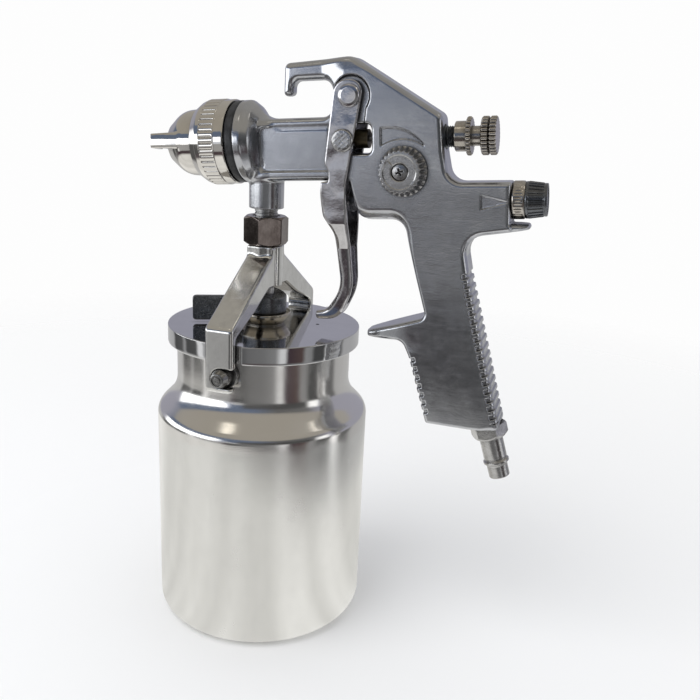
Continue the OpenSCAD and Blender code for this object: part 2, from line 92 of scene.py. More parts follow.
def spun(angle, axis):
    """Rows of a frame turned by angle about one of its own axes."""
    c, s = math.cos(angle), math.sin(angle)
    if axis == "x":
        return ((1, 0, 0), (0, c, s), (0, -s, c))
    if axis == "y":
        return ((c, 0, -s), (0, 1, 0), (s, 0, c))
    return ((c, s, 0), (-s, c, 0), (0, 0, 1))


CUP = Place()
GUN = Place((0, 0, AXIS_Z), spun(-TILT, "y"))
ALONG_X = ((0, 1, 0), (0, 0, 1), (1, 0, 0))
TO_FRONT = ((1, 0, 0), (0, 0, 1), (0, -1, 0))
TO_BACK = ((0, 0, 1), (1, 0, 0), (0, 1, 0))
BARREL = GUN.sub(rows=ALONG_X)
VALVE = GUN.sub((0, 0, -VALVE_DROP), ALONG_X)
GRIP = GUN.sub((NIPPLE_X, 0, NIPPLE_Z), spun(-GRIP_LEAN, "y"))


def across(spot, rows):
    """Frame at a place (x, z) of the gun, with its Z axis across the gun."""
    return GUN.sub((spot[0], 0, spot[1]), rows)



# ---------------- shape helpers


def swung(a, b, angle):
    """Coordinates a and b as seen from axes turned by angle."""
    c, s = math.cos(angle), math.sin(angle)
    return a * c + b * s, -a * s + b * c


def arc_corner(a, p, b, radius, count):
    """Arc of count + 1 points that rounds corner p between a and b."""
    u, v = (a - p) / np.linalg.norm(a - p), (b - p) / np.linalg.norm(b - p)
    half = math.acos(max(-1.0, min(1.0, float(u @ v)))) / 2
    if half > 1.56 or half < 0.02:
        return [p]
    reach = min(radius / math.tan(half), 0.48 * np.linalg.norm(a - p), 0.48 * np.linalg.norm(b - p))
    radius = reach * math.tan(half)
    c = p + (u + v) / np.linalg.norm(u + v) * radius / math.sin(half)
    s, e = p + u * reach - c, p + v * reach - c
    a0, a1 = math.atan2(s[1], s[0]), math.atan2(e[1], e[0])
    turn = (a1 - a0 + math.pi) % (2 * math.pi) - math.pi
    return [c + radius * np.array([math.cos(a0 + turn * i / count), math.sin(a0 + turn * i / count)])
            for i in range(count + 1)]


def soft(points, radius=0.0, count=4, closed=True):
    """2-D outline through (a, b[, radius]) points with rounded corners."""
    p = [np.array(q[:2], float) for q in points]
    out = []
    for i, q in enumerate(points):
        r = q[2] if len(q) > 2 else radius
        end = not closed and i in (0, len(points) - 1)
        if r == 0 or end:
            out.append(p[i])
        else:
            out += arc_corner(p[i - 1], p[i], p[(i + 1) % len(p)], r, count)
    return np.array(out)


def mirrored(half):
    """Closed outline from its points on one side, in order."""
    return half + [(-q[0],) + q[1:] for q in reversed(half)]


def fine(points, step, closed=False):
    """Adds points along a profile so that none is further than step from the next."""
    points = [np.array(q, float) for q in points]
    ends = points[1:] + ([points[0]] if closed else [])
    out = []
    for a, b in zip(points, ends):
        n = max(1, int(math.ceil(np.linalg.norm(b - a) / step)))
        out += [a + (b - a) * i / n for i in range(n)]
    return np.array(out if closed else out + [points[-1]])


def turn(profile, place, seg=128, warp=None, closed=False, thetas=None):
    """Solid turned about the frame's Z axis from (radius, z) points. Returns vertices and faces."""
    profile = np.asarray(profile, float)
    th = np.linspace(0, 2 * math.pi, seg, endpoint=False) if thetas is None else np.asarray(thetas)
    seg = len(th)
    r = np.repeat(profile[:, :1], seg, 1)
    z = np.repeat(profile[:, 1:2], seg, 1)
    t = np.repeat(th[None, :], len(profile), 0)
    if warp:
        r, z = warp(r, z, t)
    pts = np.stack([r * np.cos(t), r * np.sin(t), z], -1).reshape(-1, 3)
    rows = np.arange(len(profile))
    nxt = np.roll(rows, -1) if closed else rows[1:]
    faces = []
    pole = profile[:, 0] < 1e-6
    for a, b in zip(rows, nxt):
        for j in range(seg):
            k = (j + 1) % seg
            quad = (a * seg + j, a * seg + k, b * seg + k, b * seg + j)
            if pole[a] and pole[b]:
                continue
            if pole[a]:
                quad = (a * seg, b * seg + k, b * seg + j)
            elif pole[b]:
                quad = (a * seg + j, a * seg + k, b * seg)
            faces.append(quad)
    return place.out(pts), faces


def ringed(points, step, place, seg, warp=None):
    """Solid turned from a closed outline that stays off the axis."""
    return turn(fine(soft(points), step, True), place, seg, warp, closed=True)


def spindle(points, step, place, seg, warp=None):
    """Solid turned from an outline that starts and ends on the axis."""
    return turn(fine(soft(points, closed=False), step), place, seg, warp)


def smax(a, b, k):
    h = np.clip(0.5 + 0.5 * (a - b) / k, 0, 1)
    return b + (a - b) * h + k * h * (1 - h)


def smin(a, b, k):
    return -smax(-a, -b, k)


def step_up(v, a, b):
    t = np.clip((v - a) / (b - a), 0, 1)
    return t * t * (3 - 2 * t)


class Outline:
    """Signed distance to a closed 2-D outline, negative inside, read from a fine grid."""

    def __init__(self, points, step=0.4, pad=9.0):
        p = np.asarray(points, float)
        self.lo, self.step = p.min(0) - pad, step
        n = np.ceil((p.max(0) + pad - self.lo) / step).astype(int) + 1
        a = self.lo[0] + step * np.arange(n[0])[:, None]
        b = self.lo[1] + step * np.arange(n[1])[None, :]
        best = np.full(tuple(n), 1e9)
        inside = np.zeros(tuple(n), bool)
        for (x0, z0), (x1, z1) in zip(p, np.roll(p, -1, 0)):
            ex, ez = x1 - x0, z1 - z0
            long2 = ex * ex + ez * ez
            if long2 < 1e-12:
                continue
            t = np.clip(((a - x0) * ex + (b - z0) * ez) / long2, 0, 1)
            best = np.minimum(best, (a - x0 - t * ex) ** 2 + (b - z0 - t * ez) ** 2)
            if abs(ez) > 1e-12:
                inside ^= ((z0 > b) != (z1 > b)) & (a < ex * (b - z0) / ez + x0)
        self.d = np.sqrt(best) * np.where(inside, -1, 1)

    def __call__(self, a, b):
        fa = np.clip((a - self.lo[0]) / self.step, 0, self.d.shape[0] - 1.001)
        fb = np.clip((b - self.lo[1]) / self.step, 0, self.d.shape[1] - 1.001)
        i, j = fa.astype(int), fb.astype(int)
        u, v = fa - i, fb - j
        d = self.d
        return ((1 - u) * (1 - v) * d[i, j] + u * (1 - v) * d[i + 1, j]
                + (1 - u) * v * d[i, j + 1] + u * v * d[i + 1, j + 1])


def cast(d, y, half, wide, deep):
    """Slab with rounded edges: wide is the edge's width in the outline's plane, deep across it."""
    q = np.maximum(1 + d / wide, 0)
    v = np.maximum((np.abs(y) - half + deep) / deep, 0)
    return (np.sqrt(q * q + v * v) - 1) * np.minimum(wide, deep)


def rod(u, v, w, radius, w0, w1, k=0.4):
    """Cylinder of a radius about the w axis between w0 and w1, edges rounded by k."""
    return smax(np.hypot(u, v) - radius, np.maximum(w0 - w, w - w1), k)


def carve(field, lo, hi, step, place):
    """Closed mesh of field < 0 by surface nets, with its vertices pulled onto the surface."""
    step = step
    block, pulls = 6, 3
    count = [block * int(math.ceil((b - a) / step / block)) for a, b in zip(lo, hi)]
    axes = [a + step * np.arange(n) for a, n in zip(lo, count)]
    f = np.ones(count, np.float32)
    mid = np.meshgrid(*[a[::block] + step * (block - 1) / 2 for a in axes], indexing="ij")
    rough = field(*mid)
    near = np.abs(rough) < block * step * 1.25 + 0.7
    for i, j, k in np.argwhere(~near & (rough < 0)) * block:
        f[i:i + block, j:j + block, k:k + block] = -1
    todo = np.argwhere(near) * block
    offs = np.stack(np.meshgrid(*[np.arange(block)] * 3, indexing="ij"), -1).reshape(-1, 3)
    for s in range(0, len(todo), 1500):
        at = (todo[s:s + 1500, None, :] + offs[None]).reshape(-1, 3)
        f[at[:, 0], at[:, 1], at[:, 2]] = field(*[axes[d][at[:, d]] for d in range(3)])
    for d in range(3):
        cut = [slice(None)] * 3
        for e in (0, -1):
            cut[d] = e
            f[tuple(cut)] = np.maximum(f[tuple(cut)], step)
    f[f == 0] = 1e-7
    inside = f < 0
    cells = np.array(count) - 1
    stride = np.array([cells[1] * cells[2], cells[2], 1])
    ids, places, quads = [], [], []
    for d in range(3):
        a = [slice(None)] * 3
        b = [slice(None)] * 3
        a[d], b[d] = slice(None, -1), slice(1, None)
        at = np.argwhere(inside[tuple(a)] != inside[tuple(b)])
        e0, e1 = [e for e in range(3) if e != d]
        ok = (at[:, e0] > 0) & (at[:, e1] > 0) & (at[:, e0] < cells[e0]) & (at[:, e1] < cells[e1])
        at = at[ok]
        ends = at.copy()
        ends[:, d] += 1
        fa, fb = f[tuple(at.T)].astype(float), f[tuple(ends.T)].astype(float)
        pos = np.stack([axes[e][at[:, e]] for e in range(3)], 1)
        pos[:, d] += step * fa / (fa - fb)
        corners = []
        for s0, s1 in ((1, 1), (0, 1), (0, 0), (1, 0)):
            c = at.copy()
            c[:, e0] -= s0
            c[:, e1] -= s1
            corners.append(c @ stride)
            ids.append(corners[-1])
            places.append(pos)
        quad = np.stack(corners, 1)
        turned = (fa < 0) if d != 1 else (fa > 0)
        quads.append(np.where(turned[:, None], quad, quad[:, ::-1]))
    ids, places, quads = np.concatenate(ids), np.concatenate(places), np.concatenate(quads)
    cell, back = np.unique(ids, return_inverse=True)
    share = np.bincount(back)
    verts = np.stack([np.bincount(back, places[:, e]) / share for e in range(3)], 1)
    faces = np.searchsorted(cell, quads)
    h = 0.25 * step
    for _ in range(pulls):
        p = verts.T
        v = field(*p)
        g = np.stack([field(p[0] + h, p[1], p[2]) - field(p[0] - h, p[1], p[2]),
                      field(p[0], p[1] + h, p[2]) - field(p[0], p[1] - h, p[2]),
                      field(p[0], p[1], p[2] + h) - field(p[0], p[1], p[2] - h)], 1) / (2 * h)
        move = -g * (v / np.maximum((g * g).sum(1), 0.05))[:, None]
        size = np.linalg.norm(move, axis=1, keepdims=True)
        verts = verts + move * np.minimum(1, 0.4 * step / np.maximum(size, 1e-9))
    return place.out(verts), faces


def clean_mesh(name, verts, faces):
    """Mesh without doubled or loose vertices, its faces turned outwards."""
    me = bpy.data.meshes.new(name)
    me.from_pydata(verts.tolist(), [], faces)
    bm = bmesh.new()
    bm.from_mesh(me)
    bmesh.ops.remove_doubles(bm, verts=bm.verts, dist=2e-6)
    loose = [v for v in bm.verts if not v.link_faces]
    bmesh.ops.delete(bm, geom=loose, context="VERTS")
    bmesh.ops.recalc_face_normals(bm, faces=bm.faces)
    bm.to_mesh(me)
    bm.free()
    return me


def added(name, data):
    """New object in the scene for a mesh, lamp or camera."""
    ob = bpy.data.objects.new(name, data)
    bpy.context.scene.collection.objects.link(ob)
    return ob


def piece(name, node, material, parts, crease=38):
    """One visible mesh that stands for a CAD node, riding on the node's body."""
    verts, faces, base = [], [], 0
    for v, f in parts:
        verts.append(v)
        faces += [tuple(int(i) + base for i in q) for q in f]
        base += len(v)
    me = clean_mesh(name, np.concatenate(verts), faces)
    me.polygons.foreach_set("use_smooth", [True] * len(me.polygons))
    me.set_sharp_from_angle(angle=math.radians(crease))
    me.materials.append(material)
    ob = added(name, me)
    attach(ob, BODY[node])
    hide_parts(node)
    return ob


# ---------------- materials


class Nodes:
    """A short way to write shader node trees. A value is a number, a colour or another node's output."""

    def __init__(self, tree, coordinate="Object"):
        self.t = tree
        self.pos = self.node("ShaderNodeTexCoord").outputs[coordinate]

    def link(self, a, b):
        self.t.links.new(a, b)

    def fill(self, socket, value):
        if hasattr(value, "is_output"):
            self.link(value, socket)
        else:
            socket.default_value = value

    def node(self, kind, **inputs):
        n = self.t.nodes.new(kind)
        for key, value in inputs.items():
            self.fill(n.inputs[key.replace("_", " ")], value)
        return n

    def noise(self, scale, detail=4.0, rough=0.55, stretch=None):
        where = self.pos
        if stretch:
            where = self.node("ShaderNodeMapping", Vector=where, Scale=stretch).outputs["Vector"]
        n = self.node("ShaderNodeTexNoise", Vector=where, Scale=scale, Detail=detail, Roughness=rough)
        return n.outputs["Fac"]

    def remap(self, value, a, b, c, d):
        n = self.node("ShaderNodeMapRange", Value=value, From_Min=a, From_Max=b, To_Min=c, To_Max=d)
        return n.outputs["Result"]

    def smooth(self, value, a, b):
        out = self.remap(value, a, b, 0.0, 1.0)
        out.node.interpolation_type = "SMOOTHSTEP"
        return out

    def math(self, op, a, b=0.0):
        n = self.node("ShaderNodeMath")
        n.operation = op
        self.fill(n.inputs[0], a)
        self.fill(n.inputs[1], b)
        return n.outputs[0]

    def vector(self, op, a, b=(0, 0, 0)):
        n = self.node("ShaderNodeVectorMath", Vector=a)
        n.operation = op
        n.inputs[1].default_value = b
        return n.outputs["Vector" if op == "NORMALIZE" else "Value"]

    def mix(self, fac, a, b):
        n = self.node("ShaderNodeMix")
        n.data_type = "RGBA"
        for key, x in ((0, fac), (6, a), (7, b)):
            self.fill(n.inputs[key], (*x, 1) if isinstance(x, tuple) else x)
        return n.outputs[2]

    def blend(self, fac, a, b):
        n = self.node("ShaderNodeMixShader")
        for socket, x in zip(n.inputs, (fac, a, b)):
            self.link(x, socket)
        return n.outputs[0]

    def bump(self, height, strength, distance, under=None):
        n = self.node("ShaderNodeBump", Height=height, Strength=strength, Distance=distance)
        if under:
            self.link(under, n.inputs["Normal"])
        return n.outputs["Normal"]


class Surface(Nodes):
    """The node tree of a new material."""

    def __init__(self, name):
        self.mat = bpy.data.materials.new(name)
        self.mat.use_nodes = True
        super().__init__(self.mat.node_tree)

    def set(self, **inputs):
        bsdf = self.t.nodes["Principled BSDF"]
        for key, value in inputs.items():
            self.fill(bsdf.inputs[key.replace("_", " ")], value)
        return self.mat


def metal(name, color, rough, spread=0.06, tint=None, blotch=90, grain=2500, grain_bump=0.03,
          streak=None, streak_bump=0.0, hollow_shade=0.0, wave=None, speckle=0.0, speckle_scale=1400):
    """Worn bare or plated metal: colour blotches, uneven roughness, fine grain and streaks, with painted
    shade darkening the colour in hollows.
    """
    n = Surface(name)
    tint = tint or tuple(c * 0.86 for c in color)
    cloud = n.remap(n.noise(blotch, 5.0, 0.6), 0.35, 0.65, 0.0, 1.0)
    col = n.mix(cloud, color, tint)
    r = n.remap(n.noise(blotch * 3.1, 6.0, 0.65), 0.3, 0.7, rough - spread, rough + spread)
    normal = n.bump(n.noise(grain, 3.0, 0.6), grain_bump, 0.0004)
    if wave:
        normal = n.bump(n.noise(wave[0], 1.5, 0.4), wave[1], 0.002, normal)
    if streak:
        lines = n.noise(260, 6.0, 0.7, stretch=streak)
        r = n.math("ADD", r, n.remap(lines, 0.3, 0.7, -spread, spread))
        normal = n.bump(lines, streak_bump, 0.0005, normal)
    if speckle:
        dots = n.remap(n.noise(speckle_scale, 2.0, 0.5), 0.52, 0.68, 0.0, 1.0)
        col = n.mix(n.math("MULTIPLY", dots, speckle), col, tuple(c * 0.45 for c in color))
        normal = n.bump(dots, -0.25 * speckle, 0.0003, normal)
    # Painted shade: colour darkened and roughness raised where ambient occlusion finds hollows and creases
    if hollow_shade:
        ao = n.node("ShaderNodeAmbientOcclusion", Distance=0.003)
        ao.samples = 6
        dark = n.remap(ao.outputs["AO"], 0.35, 0.95, hollow_shade, 0.0)
        col = n.mix(dark, col, tuple(c * 0.12 for c in color))
        r = n.math("ADD", r, n.math("MULTIPLY", dark, 0.25))
    return n.set(Base_Color=col, Roughness=n.math("MAXIMUM", r, 0.03), Metallic=1.0, Normal=normal)


CAST = metal("cast_aluminium", (0.58, 0.59, 0.615), 0.19, 0.04, (0.50, 0.51, 0.54), 60, 1500, 0.05,
             (0.35, 1.0, 2.2), 0.04, hollow_shade=0.85, wave=(40, 0.06))
YOKE = metal("yoke_casting", (0.78, 0.775, 0.755), 0.13, 0.04, (0.70, 0.695, 0.675), 90, 900, 0.04,
             (1.0, 1.0, 0.4), 0.03, hollow_shade=0.6, wave=(60, 0.12), speckle=0.10, speckle_scale=300)
NICKEL = metal("nickel_plate", (0.80, 0.775, 0.735), 0.055, 0.02, (0.74, 0.715, 0.68), 120, 3000, 0.015,
               hollow_shade=0.6, wave=(120, 0.03))
KNURLED = metal("knurled_nickel", (0.60, 0.565, 0.52), 0.13, 0.05, (0.44, 0.41, 0.37), 300, 1500, 0.10,
                hollow_shade=0.8)
CHROME = metal("chrome_plate", (0.66, 0.65, 0.665), 0.11, 0.04, (0.58, 0.57, 0.585), 160, 900, 0.05,
               hollow_shade=0.6, wave=(75, 0.28), speckle=0.10, speckle_scale=700)
NUT = metal("dark_chrome", (0.24, 0.205, 0.19), 0.09, 0.03, (0.14, 0.115, 0.105), 200, 1200, 0.05,
            (3.0, 3.0, 0.25), 0.06, hollow_shade=0.6)
ZINC = metal("zinc_plate", (0.58, 0.575, 0.575), 0.22, 0.07, (0.46, 0.455, 0.45), 330, 900, 0.12,
             hollow_shade=0.85)
DARK = metal("dark_steel", (0.20, 0.21, 0.225), 0.28, 0.08, (0.14, 0.145, 0.155), 220, 1400, 0.10,
             hollow_shade=0.5)
STUD = metal("stud_steel", (0.34, 0.335, 0.33), 0.24, 0.07, (0.22, 0.22, 0.215), 420, 1400, 0.08,
             hollow_shade=0.7)
STEEL = metal("steel", (0.56, 0.56, 0.56), 0.25, 0.05, hollow_shade=0.5)
BRASS = metal("brass", (0.74, 0.58, 0.30), 0.26, 0.06, (0.60, 0.46, 0.24), 200, hollow_shade=0.6)
# Brass with its colour darkened for the shade inside the window: painted shade
SHADED_BRASS = metal("shaded_brass", (0.15, 0.125, 0.075), 0.40, 0.06, (0.09, 0.075, 0.05), 240, hollow_shade=0.7)
PLATED = metal("worn_plate", (0.70, 0.65, 0.56), 0.12, 0.04, (0.60, 0.55, 0.46), 180, hollow_shade=0.7)
LID = metal("lid_aluminium", (0.70, 0.70, 0.71), 0.065, 0.025, (0.65, 0.65, 0.66), 50, 1800, 0.012,
            hollow_shade=0.5, wave=(35, 0.05))


def rubber_material():
    n = Surface("black_rubber")
    cloud = n.remap(n.noise(300), 0.35, 0.65, 0, 1)
    return n.set(Base_Color=n.mix(cloud, (0.012, 0.013, 0.015), (0.03, 0.031, 0.034)),
                 Roughness=n.remap(n.noise(900), 0.3, 0.7, 0.34, 0.5),
                 Normal=n.bump(n.noise(2600), 0.15, 0.0003))


def plastic_material():
    n = Surface("white_ptfe")
    return n.set(Base_Color=n.mix(n.noise(200), (0.80, 0.79, 0.76), (0.70, 0.69, 0.66)), Roughness=0.5,
                 Normal=n.bump(n.noise(2000), 0.1, 0.0003))


def cup_material():
    """Spun cup: a satin wall with soft upright streaks below a hand-polished shoulder and neck."""
    n = Surface("spun_aluminium")
    z = n.node("ShaderNodeSeparateXYZ", Vector=n.pos).outputs["Z"]
    edge = n.math("ADD", z, n.remap(n.noise(38, 3.0), 0.3, 0.7, -0.003, 0.003))
    polished = n.remap(edge, 0.1005, 0.1035, 0.0, 1.0)
    cloud = n.noise(26, 5.0, 0.6, stretch=(1.0, 1.0, 0.35))
    smudge = n.remap(n.noise(75, 6.0, 0.7), 0.52, 0.72, 0.0, 1.0)
    satin = n.mix(n.remap(cloud, 0.35, 0.65, 0, 1), (0.87, 0.865, 0.845), (0.78, 0.775, 0.755))
    col = n.mix(polished, satin, (0.80, 0.785, 0.765))
    col = n.mix(n.math("MULTIPLY", smudge, 0.10), col, (0.60, 0.60, 0.58))
    fuzz = n.remap(n.noise(60, 5.0, 0.6), 0.3, 0.7, 0.20, 0.28)
    shine = n.remap(n.noise(120, 5.0, 0.6), 0.3, 0.7, 0.12, 0.19)
    rough = n.node("ShaderNodeMix")
    for key, x in ((0, polished), (2, fuzz), (3, shine)):
        n.link(x, rough.inputs[key])
    lines = n.noise(900, 4.0, 0.6, stretch=(0.25, 0.25, 3.0))
    ripple = n.noise(22, 2.0, 0.5, stretch=(1.0, 1.0, 0.5))
    return n.set(Base_Color=col, Roughness=rough.outputs[0], Metallic=1.0,
                 Normal=n.bump(ripple, 0.10, 0.002, n.bump(lines, 0.03, 0.0004)))


RUBBER, PTFE, CUP_METAL = rubber_material(), plastic_material(), cup_material()

# ---------------- gun body

SEAT_X, FLANGE_R, HEAD_R, HEAD_X = -9.8, 18.7, 15.4, -22.0
REAR_X, REG_X = 84.8, 114.0
# Places of the trigger's pivot, the fan valve, the trigger's cross pin and the window, as (x, z)
PIVOT, FAN, PIN, WINDOW = (43.7, 18.5), (66.9, -14.2), (40.0, -0.4), (42.8, 0.0)
RIB_PITCH, NOTCH_PITCH = 4.12, 4.23

body_side = Outline(soft([
    (-6, 9.9, 0), (34.4, 9.9, 5), (34.4, 25.8, 5.5), (15.6, 25.8, 3), (15, 19.4, 2),
    (10.1, 19.4, 1.8), (11.4, 33.8, 2.6), (44.2, 35.2, 9), (84, 9.3, 4), (REAR_X, -6, 0),
    (87, -19.2, 7), (REG_X, -19.2, 1.5), (REG_X, -37.3, 0.6), (121.9, -37.5, 1.15),
    (121.9, -39.9, 1.15), (93.5, -43.4, 12), (96, -60, 40), (111.4, -132.5, 3), (96, -132, 8),
    (76.2, -130.3, 1.5), (68.4, -98, 20), (65, -91, 5), (46.6, -90.8, 1.6), (47.4, -87.4, 1.5),
    (76.4, -79.6, 3), (65.8, -35.8, 7), (45.2, -35.8, 7), (40.8, -18.1, 1.5), (-6, -18.1, 0)],
    count=6))
bell = Outline(soft([
    (HEAD_X, -9), (HEAD_X, HEAD_R, 0.4), (SEAT_X, HEAD_R), (SEAT_X, FLANGE_R, 0.5),
    (-6.4, FLANGE_R, 1.2), (-3.4, 16.4, 2), (-0.5, 12.4, 3), (4, 9.6, 3), (9, 7.5), (9, -9)]), 0.25)


def inside_circle(x, z, cx, cz, r):
    return r - np.hypot(x - cx, z - cz)


def barrel_panel(x, z):
    """Distance inside the panel along the barrel, which has round corners at its front."""
    return 3.0 - np.hypot(np.maximum(2.2 - x, 0), np.maximum(np.abs(z + 3.6) - 7.1, 0))


def relief(x, y, z):
    """How far the casting's side face is cut back at each place, in millimetres."""
    # Seat of the trigger's arm: a disc and a strip down to the window
    strip = np.minimum(np.minimum(51.4 - (18.5 - z) * 0.165 - x, 18.5 - z), z - 4)
    seat = np.maximum(inside_circle(x, z, *PIVOT, 8.6), strip)
    cut = 1.2 * step_up(seat, -0.5, 0.5)
    # Crescent over the fan knob, on the near side only
    moon = np.minimum(inside_circle(x, z, 60.4, -15, 19.7), -inside_circle(x, z, 66.3, -18.5, 18.0))
    moon = np.minimum(moon, x - 56.9)
    cut = np.maximum(cut, 0.85 * step_up(moon, -0.2, 0.2) * (y < 0))
    # Arrow on the regulator block, deepest at its blunt end
    arrow = np.minimum((x - 101) * 0.95, ((113.9 - x) * 0.24 - np.abs(z + 27.8)) * 0.97)
    return np.maximum(cut, np.clip((115.5 - x) / 14, 0, 1) * 1.0 * step_up(arrow, -0.2, 0.2) * (y < 0))


def grip_lines(x, z):
    """Distances down and out from the top of the grip's rear ribs."""
    return (x - 92.9) * 0.2 - (z + 59.4) * 0.98, (x - 92.9) * 0.98 + (z + 59.4) * 0.2


def ribs(x, z):
    """Grooves across the rear of the grip, and how far they reach forward."""
    s, p = grip_lines(x, z)
    phase = (s / RIB_PITCH) % 1.0
    groove = step_up(phase, 0.02, 0.14) * (1 - step_up(phase, 0.50, 0.62))
    return groove * step_up(p, -0.3, 0.3) * step_up(s, -0.1, 0.1) * (1 - step_up(s, 70.4, 70.8))


def notches(x, z):
    """Finger notches down the front edge of the grip."""
    s = (x - 68.4) * 0.235 - (z + 98) * 0.972 - 0.4
    p = (x - 68.4) * 0.972 + (z + 98) * 0.235
    phase = (s / NOTCH_PITCH) % 1.0
    groove = step_up(phase, 0.14, 0.28) * (1 - step_up(phase, 0.54, 0.68))
    return groove * (1 - step_up(p, 2.4, 2.9)) * step_up(s, 0, 0.1) * (1 - step_up(s, 29.4, 29.6))


def body_field(x, y, z):
    d = body_side(x, z)
    half = 8.4 + 2.1 * step_up(-z, 30, 115) - 1.0 * step_up(z, 28, 36)
    hook = (1 - step_up(x, 29, 41)) * step_up(z, 12, 16)
    half = half + (4.2 - half) * hook
    # Finger rest: bullet-nosed from above
    rest = (1 - step_up(x, 65, 76)) * step_up(z, -97, -92) * (1 - step_up(z, -80, -74))
    nose = 1.2 + 8.6 * np.sqrt(np.clip(1 - ((70 - x) / 24.5) ** 2, 0.0, 1))
    half = half + (nose - half) * rest
    lip = step_up(x, 113.2, 114.6) * (1 - step_up(z, -37.0, -36.0))
    half = half + (7.0 - half - 0.35 * np.maximum(x - 117, 0) ** 1.3) * lip
    belly = (step_up(z, -50, -39) * (1 - step_up(z, -34, -24)) * step_up(x, 42, 50)
             * (1 - step_up(x, 60, 76)))
    grip = 1 - step_up(z, -62, -46)
    rear = step_up(grip_lines(x, z)[1], -6, 0)
    wide = 2.2 + 4.4 * belly + (-0.7 + 1.2 * rear) * grip
    deep = 3.6 + 3.0 * belly + (-1.3 + 1.4 * rear) * grip
    wide = wide + (1.7 - wide) * rest
    deep = deep + (2.6 - deep) * np.maximum(rest, lip)
    deep = deep + (3.4 - deep) * hook
    wide = wide + (3.0 - wide) * hook
    rib, notch = ribs(x, z), notches(x, z)
    half = half - relief(x, y, z) - 1.5 * rib - 1.3 * notch
    d = d + 0.6 * rib + 0.22 * notch
    f = cast(d, y, half, wide, np.minimum(deep, np.maximum(half - 0.3, 0.4)))
    f = smin(f, bell(x, np.hypot(y, z)) * 0.9, 1.6)
    # Inlet boss, upright in the row frame
    wx, wz = swung(x, z, -TILT)
    f = smin(f, rod(wx, y, wz, 8.3, -30.95, -11, 0.6), 1.3)
    # Panel along the barrel, cut into the bell at its front
    edge = np.minimum(barrel_panel(x, z), (39 - x) * 0.4)
    pocket = smin(np.abs(y) - 7.25, 0.8 * edge, 0.7)
    f = smax(f, pocket, 0.5 + 2.0 * (1 - step_up(x, -1.5, 2.0)))
    # Bores and the window
    f = smax(f, -rod(y, z, x, 13.2, HEAD_X - 2, -13, 0.3), 0.3)
    f = smax(f, -rod(y, z, x, 2.6, -14, 34, 0.2), 0.2)
    wide_x, wide_z, corner_r = 9.8, 6.4, 2.6
    out_x, out_z = np.abs(x - WINDOW[0]) - wide_x, np.abs(z - WINDOW[1]) - wide_z
    in_corner = (out_x > -corner_r) & (out_z > -corner_r)
    corner = np.hypot(np.maximum(out_x + corner_r, 0), np.maximum(out_z + corner_r, 0)) - corner_r
    f = smax(f, -np.where(in_corner, corner, np.maximum(out_x, out_z)), 1.3)
    f = smax(f, -rod(y, z, x, 5.2, 51, REAR_X + 3, 0.3), 0.4)
    f = smax(f, -rod(y, z + VALVE_DROP, x, 4.72, 34, 56, 0.3), 0.4)
    f = smax(f, -rod(y, z + VALVE_DROP, x, 3.4, 55, 62, 0.1), 0.2)
    f = smax(f, -rod(y, z + VALVE_DROP, x, 6.4, 61, REG_X + 3, 0.3), 0.4)
    f = smax(f, -rod(wx, y, wz, 5.65, -34, -18, 0.3), 0.5)
    f = smax(f, -rod(x - FAN[0], z - FAN[1], y, 3.65, -12, 4, 0.3), 0.4)
    # Lower end of the passage in the grip, and its spot face
    lx, lz = swung(x - NIPPLE_X, z - NIPPLE_Z, GRIP_LEAN)
    f = smax(f, -rod(lx, y, lz, 5.25, -8, 14, 0.3), 0.3)
    return smax(f, -rod(lx, y, lz, 9.6, -14, 0, 0.2), 0.3)


piece("gun_body_casting", "gun_body", CAST,
      [carve(body_field, (-23, -19.6, -134.5), (123.2, 19.6, 36.5), 0.42, GUN)], crease=75)

# ---------------- head

piece("head_seal_ring", "head_seal", RUBBER, [turn(
    soft([(15.45, -14.05), (18.2, -14.05, 0.8), (18.7, -12.6, 0.8), (18.7, -10.6, 0.5),
          (18.4, -9.83, 0.3), (15.45, -9.83)]), BARREL, 128, closed=True)])

# Turn of the air cap about the barrel, and how far forward its horns reach
CAP_TURN, HORN_X = math.radians(-7), -53.6
cap_side = Outline(soft([
    (-24, 17), (-27.5, 17), (-27.5, 15.52), (-33, 15.52), (-40.4, 15, 12), (-48.5, 8.3, 5),
    (-49.5, 5, 1), (-49.5, 2.3), (-48.2, 2.3), (-47.2, 6.4), (-40, 12.4), (-33, 13.3), (-24, 13.3)],
    count=8), 0.15, 4)


def cap_field(x, y, z):
    r, side = np.hypot(y, z), np.abs(y)
    f = cap_side(x, r)
    # Horns: what two flats leave of a turned sleeve
    sleeve = np.maximum(r - np.interp(x, [HORN_X, -46, -33], [14.4, 14.95, 14.95]),
                        np.interp(x, [-48.2, -46.2], [7.6, 9.6]) - r)
    flats = np.abs(z) - np.interp(x, [HORN_X, -33], [3.3, 3.75])
    horn = smax(smax(sleeve, flats, 0.5), np.maximum(HORN_X - x, x + 34), 0.45)
    f = smin(f, horn, 0.3)
    # Air holes in the horns' inner sides
    hx, hy = x + 51.0, side - 8.4
    f = smax(f, -(np.hypot(hx + 0.55 * hy, z) - 0.75 + 4 * np.maximum(hy - 1.6, 0)), 0.15)
    # Ring of small holes round the nozzle
    angle = (np.arctan2(z, y) / (math.pi / 3)) % 1.0 - 0.5
    return smax(f, -(np.hypot(r - 4.1, angle * 4.3) - 0.6 + 3 * np.maximum(-52 - x, x + 46)), 0.12)


piece("air_cap_dome", "air_cap", NICKEL,
      [carve(cap_field, (-54.4, -17.6, -17.6), (-23.4, 17.6, 17.6), 0.36, GUN.sub(rows=spun(CAP_TURN, "x")))],
      crease=50)


def ring_flutes(r, z, t):
    band = step_up(z, -26.1, -25.9) * (1 - step_up(z, -19.4, -19.2)) * (r > 18)
    wave = np.abs(np.sin(t * 22))
    return r - band * 0.55 * (1 - np.clip(wave, 0, 1) ** 0.38), z


